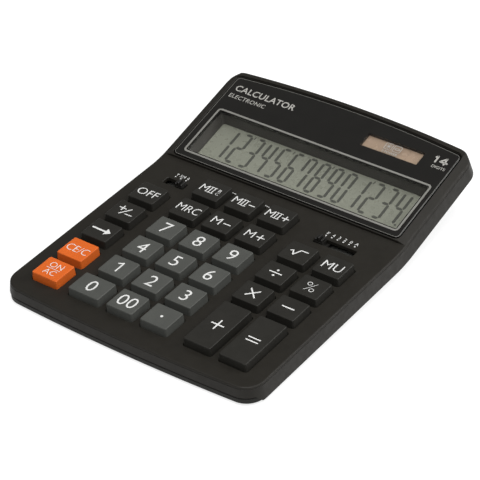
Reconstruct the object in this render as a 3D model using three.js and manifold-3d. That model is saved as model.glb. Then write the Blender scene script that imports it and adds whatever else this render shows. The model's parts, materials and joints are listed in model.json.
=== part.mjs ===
// Desk calculator: a bent two-shell case with a raised display panel, thirty-one keys, two slide switches,
// a solar cell and a button cell behind a sliding door.
// Millimetres, +Z up, +X to the right and +Y towards the display. The origin is on the desk,
// under the middle of the case.

import * as THREE from 'three';
import { mergeVertices } from 'three/addons/utils/BufferGeometryUtils.js';
import Module from 'manifold-3d';

const wasm = await Module();
wasm.setup();

// ---- Case ----
const sideMargin = 10.635; // outer keys to the edges of the top surface
const frontMargin = 12.35; // front crease to the first row of keys
const backMargin = 5.65; // last row of keys to the bend
const displayLength = 75; // display section along its slope, bend to back edge
const deckTilt = THREE.MathUtils.degToRad(2.5);
const displayTilt = THREE.MathUtils.degToRad(15.7);
const bendLength = 14; // arc that joins the two slopes
const bendSteps = 4;
const wallFlare = 1.1; // how far that wall leans out
const housingWall = 2;
const frontBow = 2.4; // how far the front edge bulges at its middle
const backBow = 4;
const frontCorner = 10;
const backCorner = 9;
const bowSteps = 8;
const cornerSteps = 4;

const lipStrip = 2.9; // the lower housing's own strip of the front wall
const lipRun = 6; // length of that strip along each side
const lipOverlap = 3; // how far its cut reaches below the wall
const partingGap = 0.3;
const lipInset = 0.4;
const lowerInset = 1;
const lowerTaper = 1; // lower housing leans in by this much for each millimetre down
const lowerDepth = 40;
const tongueWall = 1.4; // rim of the lower housing, nested inside the upper one
const floorThickness = 1.8;
const standOff = 1.4; // floor above the desk

// ---- Keys ----
const keyWidth = 16.3; // at the deck
const keyDepth = 15.1;
const columnGap = 4.55;
const blockGap = 10.04; // between two blocks of columns
const rowGap = 3.9;
const memoryRowGap = 4.5;
const keyTaper = 0.3;
const keyRise = 4.3;
const keyEdge = 0.35;
const keyCorner = 1.1;
const zeroKeyExtra = 3; // the 0 key reaches this much further left
const keyClearance = 0.35;
const flangeReach = 0.9;
const flangeThickness = 0.7;
const flangeGap = 0.6; // under the deck
const keyTravel = 1.5;

// ---- Slide switches ----
const detentPitch = 3.47;
const knobWidth = 5;
const knobTopWidth = 2.6;
const knobDepth = 4.4;
const knobRise = 3.2;
const knobEndGap = 0.65;
const knobSideGap = 0.3;
const knobTopTaper = 0.6; // front to back
const knobCorner = 0.4;
const knobPlateReach = 1.6;
const knobPlateThickness = 0.9;
const switchOffset = -0.9; // last key row to both slots
const roundingOffset = 2.73; // first key column to the middle of its slot
const roundingDetents = 3;
const decimalOffset = -1.23; // midway between the last two columns to the middle of its slot
const decimalDetents = 6;

// ---- Display ----
const platformStart = 4; // bend to the raised frame
const platformRise = 1.6;
const platformInset = 0.4;
const platformSlope = 4.6; // width of the frame's sloping sides
const backLipRise = 0.8;
const backLipInset = 5;
const panelMargin = 5.5; // panel's sides to the edges of the top surface
const panelStart = 5.4; // bend to the panel
const backLip = 3.6; // middle of the panel's back edge to the back of the case
const panelBow = 4;
const panelCorner = 2.6;
const panelThickness = 1.6;
const panelGroove = 0.6;
const seatGap = 0.3;
const windowMargin = 4.5; // on average, at either side of the liquid crystal's window
const windowFront = 4.7; // panel's front edge to the window
const windowBack = 28.9; // window to the panel's back edge
const windowOffset = 0.6; // window to the right of the middle
const bezelWall = 2.6;
const bezelDepth = 6.2;
const bezelTaper = 1.6;
const bezelCorner = 1;
const lcdThickness = 2;
const lcdOverlap = 0.5; // under the bezel
const solarWidth = 35;
const solarDepth = 9.5;
const solarBack = 14.4; // middle of the cell to the panel's back edge
const solarSide = 35.6; // middle of the cell to the panel's right edge
const solarGap = 0.5; // under the panel's seat
const solarThickness = 1.2;

// ---- Inside ----
const boardMargin = 10.9; // to the edges of the top surface
const boardStart = 9.5; // front crease to the board
const boardBack = 3.7; // board to the bend
const boardThickness = 1.2;
const boardGap = 0.4; // above the floor at the front
const sheetMargin = 1;
const sheetThickness = 1;
const sheetReach = 5; // behind the middle of the last key row
const domeRadius = 4;
const domeTopRadius = 2.6;
const domeSides = 10;
const chipRadius = 6;
const chipHeight = 1.5;
const chipShoulder = 0.75;
const chipSides = 12;
const chipBack = 17; // middle of the chip to the board's back edge
const ribbonWidth = 70;
const ribbonThickness = 0.3;
const ribbonLanding = 4; // length that lies on the board and under the liquid crystal
const leadRadius = 0.35;
const leadSides = 8;
const leadSteps = 14;
const leadSpread = 10; // between the solar cell's two leads
const leadDrop = 3; // the leads' run below the liquid crystal
const landingInset = 4; // where the leads meet the board, from its back edge

// ---- Underside ----
const screwHeadRadius = 2.3;
const screwHeadHeight = 1;
const screwRadius = 0.9;
const screwLength = 6.5;
const screwTip = 0.8;
const screwSides = 14;
const bossRadius = 2.6;
const bossSkin = 1.2; // how far a boss stays below the top surface
const boreDepth = 1; // beyond the screw's tip
const boreClearance = 0.25;
const bossGap = 0.5; // front bosses to the lower housing's tongue
const frontScrewRun = 8.5; // tongue's front wall to the front screws
const backScrewSide = 13.5; // middle of the case to the back screws
const footRadius = 5;
const footSides = 20;
const footSeat = 1.1;
const footChamfer = 0.5;
const footInset = 12; // floor's side edge to the middle of a foot
const frontFootLine = 17; // front crease to the front feet
const backFootInset = 10.7; // floor's back edge to the back feet
const cellRadius = 10;
const cellThickness = 3.2;
const cellSides = 28;
const cellSide = -20;
const cellBack = 19.4; // bend to the middle of the cell
const cellClearance = 0.4;
const doorReach = 2; // door beyond the cell on each side
const doorThickness = 1.2;
const doorTravel = 6;
const doorClearance = 0.3;
const compartmentWall = 3;
const compartmentPad = 2; // thicker floor around the compartment
const padInset = 0.5; // above the floor's underside
const contactThickness = 0.3;
const contactWidth = 5;
const contactSpring = 0.4; // how far the upper contact dips
const contactFoot = 4; // length of a contact's foot

const clearance = 0.3;
const far = 400; // longer than the case, for cutters
const cutterDepth = 60;
const overrun = 1; // how far a cutter passes the face that it cuts

// ---- Sizes that follow ----
const columnPitch = keyWidth + columnGap;
const blockPitch = keyWidth + blockGap;
const rowPitch = keyDepth + rowGap;
const memoryRowPitch = keyDepth + memoryRowGap;
const firstRow = frontMargin + keyDepth / 2; // rows and columns are placed by their middles
const lastRow = firstRow + 4 * rowPitch + memoryRowPitch;
const keySpan = 2 * blockPitch + 3 * columnPitch;
const rimWidth = keySpan + keyWidth + 2 * sideMargin; // top surface, side to side
const deckLength = lastRow + keyDepth / 2 + backMargin; // along the deck's slope, front crease to bend
const halfRim = rimWidth / 2;
const flatLength = deckLength + displayLength;
const floorTop = standOff + floorThickness;
const keyFlangeTop = -(housingWall + flangeGap);
const keyBottom = keyFlangeTop - flangeThickness;
const sheetTop = keyBottom - keyTravel - clearance;
const sheetBottom = sheetTop - sheetThickness;
const boardTop = sheetBottom - clearance;
const boardBottom = boardTop - boardThickness;
const boardWidth = rimWidth - 2 * boardMargin;
const boardEnd = deckLength - boardBack;
const frontHeight = floorTop + boardGap - boardBottom - boardStart * Math.sin(deckTilt);
const wallHeight = frontHeight - standOff; // outer wall of the upper housing, below its rim
const lipHeight = wallHeight - lipStrip;
const tongueInset = housingWall + clearance;
const tongueInner = tongueInset + tongueWall;
const panelWidth = rimWidth - 2 * panelMargin;
const panelEnd = displayLength - backLip;
const lcdWindowWidth = panelWidth - 2 * windowMargin;
const lcdWindowDepth = panelEnd - panelStart - windowFront - windowBack;
const lcdMiddle = deckLength + panelStart + windowFront + lcdWindowDepth / 2;
const solarMiddle = deckLength + panelEnd - solarBack;
const solarOffset = panelWidth / 2 - solarSide;
const seatLevel = -seatGap; // floor of the panel's pocket
const bezelTop = seatLevel - clearance;
const bezelBottom = bezelTop - bezelDepth;
const lcdTop = bezelBottom - clearance;
const lcdBottom = lcdTop - lcdThickness;
const solarTop = -solarGap;
const solarBottom = solarTop - solarThickness;
const doorTop = standOff + doorThickness;
const doorSize = 2 * (cellRadius + doorReach);
const cellBottom = doorTop + 2 * clearance;
const cellTop = cellBottom + cellThickness;
const compartmentTop = cellTop + clearance + contactSpring - contactThickness;

const colours = {
  case: { color: 0x34322e, roughness: 0.62, metalness: 0 },
  blackKey: { color: 0x373532, roughness: 0.55, metalness: 0 },
  greyKey: { color: 0x555450, roughness: 0.55, metalness: 0 },
  orangeKey: { color: 0xe1641e, roughness: 0.5, metalness: 0 },
  panel: { color: 0x1b1a18, roughness: 0.12, metalness: 0 },
  bezel: { color: 0x504d48, roughness: 0.6, metalness: 0 },
  lcd: { color: 0x919285, roughness: 0.3, metalness: 0 },
  solar: { color: 0x78695a, roughness: 0.25, metalness: 0 },
  board: { color: 0x1f6b3a, roughness: 0.5, metalness: 0 },
  silicone: { color: 0xb8b8b0, roughness: 0.7, metalness: 0 },
  ribbon: { color: 0xd8b070, roughness: 0.5, metalness: 0 },
  epoxy: { color: 0x101010, roughness: 0.3, metalness: 0 },
  steel: { color: 0xb9bcc0, roughness: 0.3, metalness: 1 },
  rubber: { color: 0x202020, roughness: 0.9, metalness: 0 },
  redLead: { color: 0xb02018, roughness: 0.5, metalness: 0 },
  blackLead: { color: 0x151515, roughness: 0.5, metalness: 0 },
};

const model = new THREE.Group();

function addMesh(parent, name, geometry, look) {
  const mesh = new THREE.Mesh(geometry, new THREE.MeshStandardMaterial(colours[look]));
  mesh.name = name;
  parent.add(mesh);
  return mesh;
}

// ---- Solids ----
function toSolid(geometry) {
  const plain = geometry.clone();
  plain.deleteAttribute('normal');
  plain.deleteAttribute('uv');
  const merged = mergeVertices(plain, 1e-5);
  const vertProperties = new Float32Array(merged.attributes.position.array);
  const triVerts = new Uint32Array(merged.index.array);
  return new wasm.Manifold(new wasm.Mesh({ numProp: 3, vertProperties, triVerts }));
}

function toGeometry(solid) {
  const mesh = solid.getMesh();
  const geometry = new THREE.BufferGeometry();
  geometry.setAttribute('position', new THREE.BufferAttribute(new Float32Array(mesh.vertProperties), 3));
  geometry.setIndex(new THREE.BufferAttribute(new Uint32Array(mesh.triVerts), 1));
  geometry.computeVertexNormals();
  return geometry;
}

// A solid between stacked outlines. Every section is { outline, z }, and all outlines have as many points.
// The end faces are filled loop by loop, from lists of point numbers.
function loft(sections, loops = [sections[0].outline.map((_, i) => i)]) {
  const count = sections[0].outline.length;
  const positions = sections.flatMap(({ outline, z }) => outline.flatMap((point) => [point.x, point.y, z]));
  const indices = [];
  for (let level = 0; level < sections.length - 1; level += 1) {
    for (let i = 0; i < count; i += 1) {
      const a = level * count + i;
      const b = level * count + ((i + 1) % count);
      indices.push(a, b, b + count, a, b + count, a + count);
    }
  }
  const last = (sections.length - 1) * count;
  for (const loop of loops) {
    const bottom = loop.map((i) => sections[0].outline[i]);
    const top = loop.map((i) => sections.at(-1).outline[i]);
    for (const [a, b, c] of THREE.ShapeUtils.triangulateShape(bottom, [])) {
      indices.push(loop[c], loop[b], loop[a]);
    }
    for (const [a, b, c] of THREE.ShapeUtils.triangulateShape(top, [])) {
      indices.push(last + loop[a], last + loop[b], last + loop[c]);
    }
  }
  const geometry = new THREE.BufferGeometry();
  geometry.setAttribute('position', new THREE.Float32BufferAttribute(positions, 3));
  geometry.setIndex(indices);
  geometry.computeVertexNormals();
  return geometry;
}

function prism(outline, low, high) {
  return loft([{ outline, z: low }, { outline, z: high }]);
}

function box(minimum, maximum) {
  const size = new THREE.Vector3().subVectors(maximum, minimum);
  const middle = new THREE.Vector3().addVectors(minimum, maximum).multiplyScalar(0.5);
  return new THREE.BoxGeometry(size.x, size.y, size.z).translate(middle.x, middle.y, middle.z);
}

function boxAt(x, y, width, depth, low, high) {
  const minimum = new THREE.Vector3(x - width / 2, y - depth / 2, low);
  const maximum = new THREE.Vector3(x + width / 2, y + depth / 2, high);
  return box(minimum, maximum);
}

function cylinderAt(x, y, radius, low, high, sides) {
  const geometry = new THREE.CylinderGeometry(radius, radius, high - low, sides);
  return geometry.rotateX(Math.PI / 2).translate(x, y, (low + high) / 2);
}

// A prism along X from a closed outline of [y, z] points.
function alongX(points, low, high) {
  const shape = new THREE.Shape(points.map(([y, z]) => new THREE.Vector2(y, z)));
  const geometry = new THREE.ExtrudeGeometry(shape, { depth: high - low, bevelEnabled: false });
  const turn = new THREE.Matrix4().set(0, 0, 1, low, 1, 0, 0, 0, 0, 1, 0, 0, 0, 0, 0, 1);
  return geometry.applyMatrix4(turn);
}

// A strip of constant thickness along a path of [y, z] points, seen from the side.
function strip(path, thickness, low, high) {
  const raised = path.map(([y, z], i) => {
    const [y0, z0] = path[Math.max(i - 1, 0)];
    const [y1, z1] = path[Math.min(i + 1, path.length - 1)];
    const length = Math.hypot(y1 - y0, z1 - z0);
    return [y - (thickness * (z1 - z0)) / length, z + (thickness * (y1 - y0)) / length];
  });
  return alongX([...path, ...raised.reverse()], low, high);
}

function rectangle(x, y, width, depth, radius, steps) {
  const points = [];
  const corners = [[1, -1, -90], [1, 1, 0], [-1, 1, 90], [-1, -1, 180]];
  for (const [sideX, sideY, start] of corners) {
    for (let i = 0; i <= steps; i += 1) {
      const angle = THREE.MathUtils.degToRad(start + (90 * i) / steps);
      const middleX = x + sideX * (width / 2 - radius);
      const middleY = y + sideY * (depth / 2 - radius);
      points.push(new THREE.Vector2(middleX + radius * Math.cos(angle), middleY + radius * Math.sin(angle)));
    }
  }
  return points;
}

// One bulging edge of a plan outline with the rounded corners at its ends, from left to right.
// side is -1 for the front edge and 1 for the back edge.
function bowedEdge({ half, y, bow, radius, side }) {
  const reach = half - radius;
  const slope = Math.atan((2 * bow * reach) / half ** 2);
  const edgeX = reach + radius * Math.sin(slope);
  const edgeY = (x) => y - side * bow * (x / half) ** 2;
  const cornerY = edgeY(edgeX) - side * radius * Math.cos(slope);
  const corner = [];
  for (let i = 0; i <= cornerSteps; i += 1) {
    const angle = ((Math.PI / 2 - slope) * i) / cornerSteps;
    const x = reach + radius * Math.cos(angle);
    corner.push(new THREE.Vector2(x, cornerY + side * radius * Math.sin(angle)));
  }
  const middle = [];
  for (let i = 1; i < bowSteps; i += 1) {
    const x = (2 * edgeX * i) / bowSteps - edgeX;
    middle.push(new THREE.Vector2(x, edgeY(x)));
  }
  const left = corner.map((point) => new THREE.Vector2(-point.x, point.y));
  return [...left, ...middle, ...corner.reverse()];
}

// ---- The bend ----
// Flat coordinates are x, the distance t from the front crease and the height h above the top surface.
const bendStart = deckLength - bendLength / 2;
const bendTurn = displayTilt - deckTilt;
const bendRadius = bendLength / bendTurn;

function fold(t, h) {
  const along = THREE.MathUtils.clamp(t - bendStart, 0, bendLength);
  const angle = deckTilt + along / bendRadius;
  const before = Math.min(t, bendStart);
  const after = Math.max(t - bendStart - bendLength, 0);
  const y = before * Math.cos(deckTilt) + bendRadius * (Math.sin(angle) - Math.sin(deckTilt))
    + after * Math.cos(angle) - h * Math.sin(angle);
  const z = frontHeight + before * Math.sin(deckTilt) + bendRadius * (Math.cos(deckTilt) - Math.cos(angle))
    + after * Math.sin(angle) + h * Math.cos(angle);
  return [y, z];
}

function foldGeometry(geometry) {
  const position = geometry.attributes.position;
  for (let i = 0; i < position.count; i += 1) {
    const [y, z] = fold(position.getY(i), position.getZ(i));
    position.setXYZ(i, position.getX(i), y, z);
  }
  return geometry;
}

// The matrix that places flat coordinates on the deck's or the display's own slope.
function slopeMatrix(start, tilt) {
  const [y, z] = fold(start, 0);
  const matrix = new THREE.Matrix4().makeRotationX(tilt);
  return matrix.setPosition(0, y - start * Math.cos(tilt), z - start * Math.sin(tilt));
}

const deckMatrix = slopeMatrix(0, deckTilt);
const displayMatrix = slopeMatrix(flatLength, displayTilt);

function slopeGroup(matrix) {
  const group = new THREE.Group();
  group.applyMatrix4(matrix);
  model.add(group);
  return group;
}

const deck = slopeGroup(deckMatrix);
const display = slopeGroup(displayMatrix);

// ---- Outlines ----
const bendStations = [];
for (let i = 0; i <= bendSteps; i += 1) {
  bendStations.push(bendStart + (bendLength * i) / bendSteps);
}

function caseEdges(inset) {
  const half = halfRim - inset;
  return {
    half,
    front: bowedEdge({ half, y: inset, bow: frontBow, radius: Math.max(frontCorner - inset, 1), side: -1 }),
    back: bowedEdge({
      half, y: flatLength - inset, bow: backBow, radius: Math.max(backCorner - inset, 1), side: 1,
    }),
  };
}

// The case's plan outline, with a point on each side at every step of the bend.
function caseOutline(inset) {
  const { half, front, back } = caseEdges(inset);
  const right = bendStations.map((t) => new THREE.Vector2(half, t));
  const left = bendStations.map((t) => new THREE.Vector2(-half, t));
  return [...front, ...right, ...back.reverse(), ...left.reverse()];
}

// The outline's strips between the steps of the bend, as lists of point numbers.
function caseLoops() {
  const { front, back } = caseEdges(0);
  const steps = bendStations.length;
  const right = front.length;
  const left = right + steps + back.length;
  const numbers = (start, count) => Array.from({ length: count }, (_, i) => start + i);
  const loops = [[...numbers(0, right + 1), left + steps - 1]];
  for (let i = 0; i < steps - 1; i += 1) {
    loops.push([right + i, right + i + 1, left + steps - 2 - i, left + steps - 1 - i]);
  }
  loops.push(numbers(right + steps - 1, back.length + 2));
  return loops;
}

// A folded solid between case outlines; each level is [inset, height above the top surface].
function foldedCase(levels) {
  const sections = levels.map(([inset, z]) => ({ outline: caseOutline(inset), z }));
  return toSolid(foldGeometry(loft(sections, caseLoops())));
}

function panelOutline(inset) {
  const half = panelWidth / 2 - inset;
  const front = deckLength + panelStart + inset;
  const back = deckLength + panelEnd - inset;
  return [
    ...bowedEdge({ half, y: front, bow: 0, radius: panelCorner, side: -1 }),
    ...bowedEdge({ half, y: back, bow: panelBow, radius: panelCorner, side: 1 }).reverse(),
  ];
}

function onDeck(geometry) {
  return toSolid(geometry.applyMatrix4(deckMatrix));
}

function onDisplay(geometry) {
  return toSolid(geometry.applyMatrix4(displayMatrix));
}

// ---- Key layout ----
const columnSteps = [0, blockPitch, columnPitch, columnPitch, blockPitch, columnPitch];
let columnX = -keySpan / 2;
const columns = columnSteps.map((step) => {
  columnX += step;
  return columnX;
});
const rows = [0, 1, 2, 3, 4].map((row) => firstRow + row * rowPitch);
rows.push(lastRow);

const keys = [
  { name: 'key_on_ac', column: 0, row: 0, look: 'orangeKey' },
  { name: 'key_ce_c', column: 0, row: 1, look: 'orangeKey' },
  { name: 'key_backspace', column: 0, row: 2, look: 'blackKey' },
  { name: 'key_sign', column: 0, row: 3, look: 'blackKey' },
  { name: 'key_off', column: 0, row: 4, look: 'blackKey' },
  { name: 'key_0', column: 1, row: 0, look: 'greyKey', extraLeft: zeroKeyExtra },
  { name: 'key_00', column: 2, row: 0, look: 'greyKey' },
  { name: 'key_point', column: 3, row: 0, look: 'greyKey' },
  { name: 'key_mrc', column: 1, row: 4, look: 'blackKey' },
  { name: 'key_m_minus', column: 2, row: 4, look: 'blackKey' },
  { name: 'key_m_plus', column: 3, row: 4, look: 'blackKey' },
  { name: 'key_mii_rc', column: 1, row: 5, look: 'blackKey' },
  { name: 'key_mii_minus', column: 2, row: 5, look: 'blackKey' },
  { name: 'key_mii_plus', column: 3, row: 5, look: 'blackKey' },
  { name: 'key_plus', column: 4, row: 0, look: 'blackKey', tall: true },
  { name: 'key_multiply', column: 4, row: 2, look: 'blackKey' },
  { name: 'key_divide', column: 4, row: 3, look: 'blackKey' },
  { name: 'key_root', column: 4, row: 4, look: 'blackKey' },
  { name: 'key_equals', column: 5, row: 0, look: 'blackKey', tall: true },
  { name: 'key_minus', column: 5, row: 2, look: 'blackKey' },
  { name: 'key_percent', column: 5, row: 3, look: 'blackKey' },
  { name: 'key_markup', column: 5, row: 4, look: 'blackKey' },
];
for (let digit = 1; digit <= 9; digit += 1) {
  const column = 1 + ((digit - 1) % 3);
  const row = 1 + Math.floor((digit - 1) / 3);
  keys.push({ name: `key_${digit}`, column, row, look: 'greyKey' });
}

function keyPlace({ column, row, extraLeft = 0, tall = false }) {
  return {
    x: columns[column] - extraLeft / 2,
    y: rows[row] + (tall ? rowPitch / 2 : 0),
    width: keyWidth + extraLeft,
    depth: keyDepth + (tall ? rowPitch : 0),
  };
}

function keyOutline(key, grow) {
  const { x, y, width, depth } = keyPlace(key);
  return rectangle(x, y, width + 2 * grow, depth + 2 * grow, keyCorner, 2);
}

function keyGeometry(key) {
  return loft([
    { outline: keyOutline(key, flangeReach), z: keyBottom },
    { outline: keyOutline(key, flangeReach), z: keyFlangeTop },
    { outline: keyOutline(key, 0), z: keyFlangeTop },
    { outline: keyOutline(key, 0), z: 0 },
    { outline: keyOutline(key, -keyTaper), z: keyRise - keyEdge },
    { outline: keyOutline(key, -keyTaper - keyEdge), z: keyRise },
  ]);
}

// ---- Slide switches ----
const switchLine = lastRow + switchOffset;
const decimalMiddle = (columns[4] + columns[5]) / 2 + decimalOffset;
const switches = [
  { name: 'rounding_switch', x: columns[0] + roundingOffset, detents: roundingDetents, rest: 2 },
  { name: 'decimal_switch', x: decimalMiddle, detents: decimalDetents, rest: 0 },
];

function slotGeometry({ x, detents }) {
  const width = (detents - 1) * detentPitch + knobWidth + 2 * knobEndGap;
  const depth = knobDepth + 2 * knobSideGap;
  return boxAt(x, switchLine, width, depth, -cutterDepth, far);
}

function knobGeometry({ x, detents, rest }) {
  const knobX = x + (rest - (detents - 1) / 2) * detentPitch;
  const outline = (width, depth) => rectangle(knobX, switchLine, width, depth, knobCorner, 1);
  const plateTop = -(housingWall + clearance);
  const plateWidth = knobWidth + 2 * knobPlateReach;
  const plateDepth = knobDepth + 2 * knobPlateReach;
  return loft([
    { outline: outline(plateWidth, plateDepth), z: plateTop - knobPlateThickness },
    { outline: outline(plateWidth, plateDepth), z: plateTop },
    { outline: outline(knobWidth, knobDepth), z: plateTop },
    { outline: outline(knobWidth, knobDepth), z: 0 },
    { outline: outline(knobTopWidth, knobDepth - knobTopTaper), z: knobRise },
  ]);
}

// ---- Upper housing ----
function shellSolid() {
  const outer = foldedCase([[-wallFlare, -wallHeight], [0, 0]]);
  return outer.subtract(foldedCase([[housingWall, -cutterDepth], [housingWall, -housingWall]]));
}

function panelPocket() {
  return onDisplay(prism(panelOutline(-panelGroove), seatLevel, far));
}

// The raised frame around the panel: a ridge with sloping sides, and a higher lip behind the panel.
function platformSolid() {
  const foot = halfRim - platformInset;
  const top = foot - platformSlope;
  const root = -housingWall / 2;
  const half = [[foot, root], [foot, 0], [top, platformRise]];
  const section = [...half, ...half.map(([x, h]) => [-x, h]).reverse()];
  const shape = new THREE.Shape(section.map(([x, h]) => new THREE.Vector2(x, h)));
  const ridge = new THREE.ExtrudeGeometry(shape, { depth: far, bevelEnabled: false });
  ridge.rotateX(Math.PI / 2).translate(0, deckLength + platformStart + far, 0);
  const lipHalf = halfRim - backLipInset;
  const lipStart = deckLength + panelEnd - panelBow - panelCorner;
  const lip = box(
    new THREE.Vector3(-lipHalf, lipStart, root),
    new THREE.Vector3(lipHalf, lipStart + far, platformRise + backLipRise),
  );
  const bounds = onDisplay(prism(caseOutline(platformInset / 2), root, far));
  return onDisplay(ridge).add(onDisplay(lip)).intersect(bounds);
}

function frontLipCutter(drop) {
  const end = lipRun + (wallHeight - drop);
  const deep = -wallHeight - lipOverlap;
  const section = [[-far, -drop], [lipRun, -drop], [end, -wallHeight], [end, deep], [-far, deep]];
  return onDeck(alongX(section, -far, far));
}

function upperHousingSolid() {
  let housing = shellSolid().add(platformSolid());
  const cutters = [frontLipCutter(lipHeight), panelPocket(), onDisplay(lcdOpening(bezelWall + clearance))];
  for (const key of keys) {
    cutters.push(onDeck(prism(keyOutline(key, keyClearance), -cutterDepth, far)));
  }
  for (const slide of switches) {
    cutters.push(onDeck(slotGeometry(slide)));
  }
  cutters.push(onDisplay(solarOpening(clearance)));
  for (const cutter of cutters) {
    housing = housing.subtract(cutter);
  }
  for (const place of screwList()) {
    const top = topSkinZ(place) - bossSkin;
    const boss = cylinderAt(place.x, place.y, bossRadius, floorTop + clearance, top, screwSides);
    const boreTop = standOff + screwLength + boreDepth;
    const bore = cylinderAt(place.x, place.y, screwRadius + boreClearance, -overrun, boreTop, screwSides);
    housing = housing.add(toSolid(boss)).subtract(toSolid(bore));
  }
  return housing;
}

function solarOpening(grow) {
  const width = solarWidth + 2 * grow;
  const depth = solarDepth + 2 * grow;
  return boxAt(solarOffset, solarMiddle, width, depth, -cutterDepth, far);
}

function lcdOpening(grow) {
  const width = lcdWindowWidth + 2 * grow;
  const depth = lcdWindowDepth + 2 * grow;
  return boxAt(windowOffset, lcdMiddle, width, depth, -cutterDepth, far);
}

// Height of the top surface above a point of the plan.
function topSkinZ({ y }) {
  let low = 0;
  let high = flatLength;
  for (let i = 0; i < 40; i += 1) {
    const middle = (low + high) / 2;
    if (fold(middle, 0)[0] < y) {
      low = middle;
    } else {
      high = middle;
    }
  }
  return fold(low, 0)[1];
}

// ---- Lower housing ----
function aboveFloor(z) {
  return toSolid(box(new THREE.Vector3(-far, -far, z), new THREE.Vector3(far, far, far)));
}

function taperedCase(inset, top) {
  return foldedCase([[inset + lowerDepth * lowerTaper, top - lowerDepth], [inset, top]]);
}

function lowerHousingSolid() {
  const top = -wallHeight - partingGap;
  const rim = -lipHeight - partingGap;
  const root = top - overrun; // the rim's pieces start inside the tapered tub
  const lip = foldedCase([[lipInset, root], [lipInset, rim]]).intersect(frontLipCutter(-rim));
  const tongue = foldedCase([[tongueInset, root], [tongueInset, rim]]);
  const outer = taperedCase(lowerInset, top).add(tongue).add(lip).intersect(aboveFloor(standOff));
  const innerTop = foldedCase([[tongueInner, root], [tongueInner, 0]]);
  const cavity = taperedCase(tongueInner, top).add(innerTop).intersect(aboveFloor(floorTop));
  let housing = outer.subtract(cavity).add(compartmentSolid());
  for (const { x, y } of screwList()) {
    const hole = cylinderAt(x, y, screwRadius + boreClearance, -overrun, floorTop + overrun, screwSides);
    const seatTop = standOff + screwHeadHeight + boreClearance;
    const seat = cylinderAt(x, y, screwHeadRadius + boreClearance, -overrun, seatTop, screwSides);
    housing = housing.subtract(toSolid(hole)).subtract(toSolid(seat));
  }
  for (const { x, y } of footList()) {
    const seat = cylinderAt(x, y, footRadius + clearance, -overrun, standOff + footSeat, footSides);
    housing = housing.subtract(toSolid(seat));
  }
  return housing.subtract(doorRecess()).subtract(cellBore());
}

const cellY = fold(deckLength, 0)[0] + cellBack;
const compartmentWidth = 2 * (cellRadius + cellClearance + compartmentWall);
const cellWallInner = cellY + cellRadius + clearance;

function compartmentSolid() {
  const low = standOff + padInset;
  const width = compartmentWidth + 2 * compartmentPad;
  const padY = cellY + doorTravel / 2;
  const pad = boxAt(cellSide, padY, width, width + doorTravel, low, floorTop + doorThickness);
  const walls = boxAt(cellSide, cellY, compartmentWidth, compartmentWidth, low, compartmentTop);
  const slot = box(
    new THREE.Vector3(cellSide - contactWidth / 2 - clearance, cellWallInner, cellBottom + contactSpring),
    new THREE.Vector3(cellSide + contactWidth / 2 + clearance, cellY + compartmentWidth / 2 + overrun, far),
  );
  return toSolid(pad).add(toSolid(walls)).subtract(toSolid(slot));
}

function doorRecess() {
  const width = doorSize + 2 * doorClearance;
  const top = doorTop + doorClearance;
  return toSolid(boxAt(cellSide, cellY + doorTravel / 2, width, width + doorTravel, -overrun, top));
}

function cellBore() {
  const radius = cellRadius + cellClearance;
  return toSolid(cylinderAt(cellSide, cellY, radius, -overrun, compartmentTop + overrun, cellSides));
}

// ---- Places on the floor ----
// The tub's sides and back slope in, so the flat floor is narrower and shorter where the case is higher.
function floorHalf(y) {
  const drop = topSkinZ({ y }) - wallHeight - standOff;
  return halfRim - lowerInset - drop * lowerTaper;
}

function floorBack() {
  const [y, z] = fold(flatLength - lowerInset, -wallHeight - partingGap);
  const fall = Math.sin(displayTilt) * lowerTaper + Math.cos(displayTilt);
  const run = Math.cos(displayTilt) * lowerTaper - Math.sin(displayTilt);
  return y - ((z - standOff) / fall) * run;
}

function mirrorPlaces(places) {
  return Object.entries(places).flatMap(([row, { x, y }]) => [
    { name: `${row}_left`, x: -x, y },
    { name: `${row}_right`, x, y },
  ]);
}

function screwList() {
  const bezelBack = lcdMiddle + lcdWindowDepth / 2 + bezelWall;
  const backLine = fold(bezelBack, bezelBottom)[0] + 2 * clearance + bossRadius;
  return mirrorPlaces({
    front: { x: halfRim - tongueInner - bossGap - bossRadius, y: tongueInner + frontScrewRun },
    back: { x: backScrewSide, y: backLine },
  });
}

function footList() {
  const backLine = floorBack() - backFootInset;
  return mirrorPlaces({
    front: { x: floorHalf(frontFootLine) - footInset, y: frontFootLine },
    back: { x: floorHalf(backLine) - footInset, y: backLine },
  });
}

// ---- Display pieces ----
function bezelGeometry() {
  const width = lcdWindowWidth + 2 * bezelWall;
  const depth = lcdWindowDepth + 2 * bezelWall;
  const outer = toSolid(boxAt(windowOffset, lcdMiddle, width, depth, bezelBottom, bezelTop));
  const opening = (grow) => rectangle(
    windowOffset, lcdMiddle, lcdWindowWidth + 2 * grow, lcdWindowDepth + 2 * grow, bezelCorner, 1,
  );
  const slope = (overrun * bezelTaper) / bezelDepth;
  const hole = toSolid(loft([
    { outline: opening(-bezelTaper - slope), z: bezelBottom - overrun },
    { outline: opening(slope), z: bezelTop + overrun },
  ]));
  return toGeometry(outer.subtract(hole));
}

function addDisplayPieces() {
  const panel = prism(panelOutline(0), platformRise - panelThickness, platformRise);
  addMesh(display, 'display_window', panel, 'panel');
  addMesh(display, 'lcd_bezel', bezelGeometry(), 'bezel');
  const width = lcdWindowWidth + 2 * lcdOverlap;
  const depth = lcdWindowDepth + 2 * lcdOverlap;
  addMesh(display, 'lcd_glass', boxAt(windowOffset, lcdMiddle, width, depth, lcdBottom, lcdTop), 'lcd');
  const solar = boxAt(solarOffset, solarMiddle, solarWidth, solarDepth, solarBottom, solarTop);
  addMesh(display, 'solar_cell', solar, 'solar');
}

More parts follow.
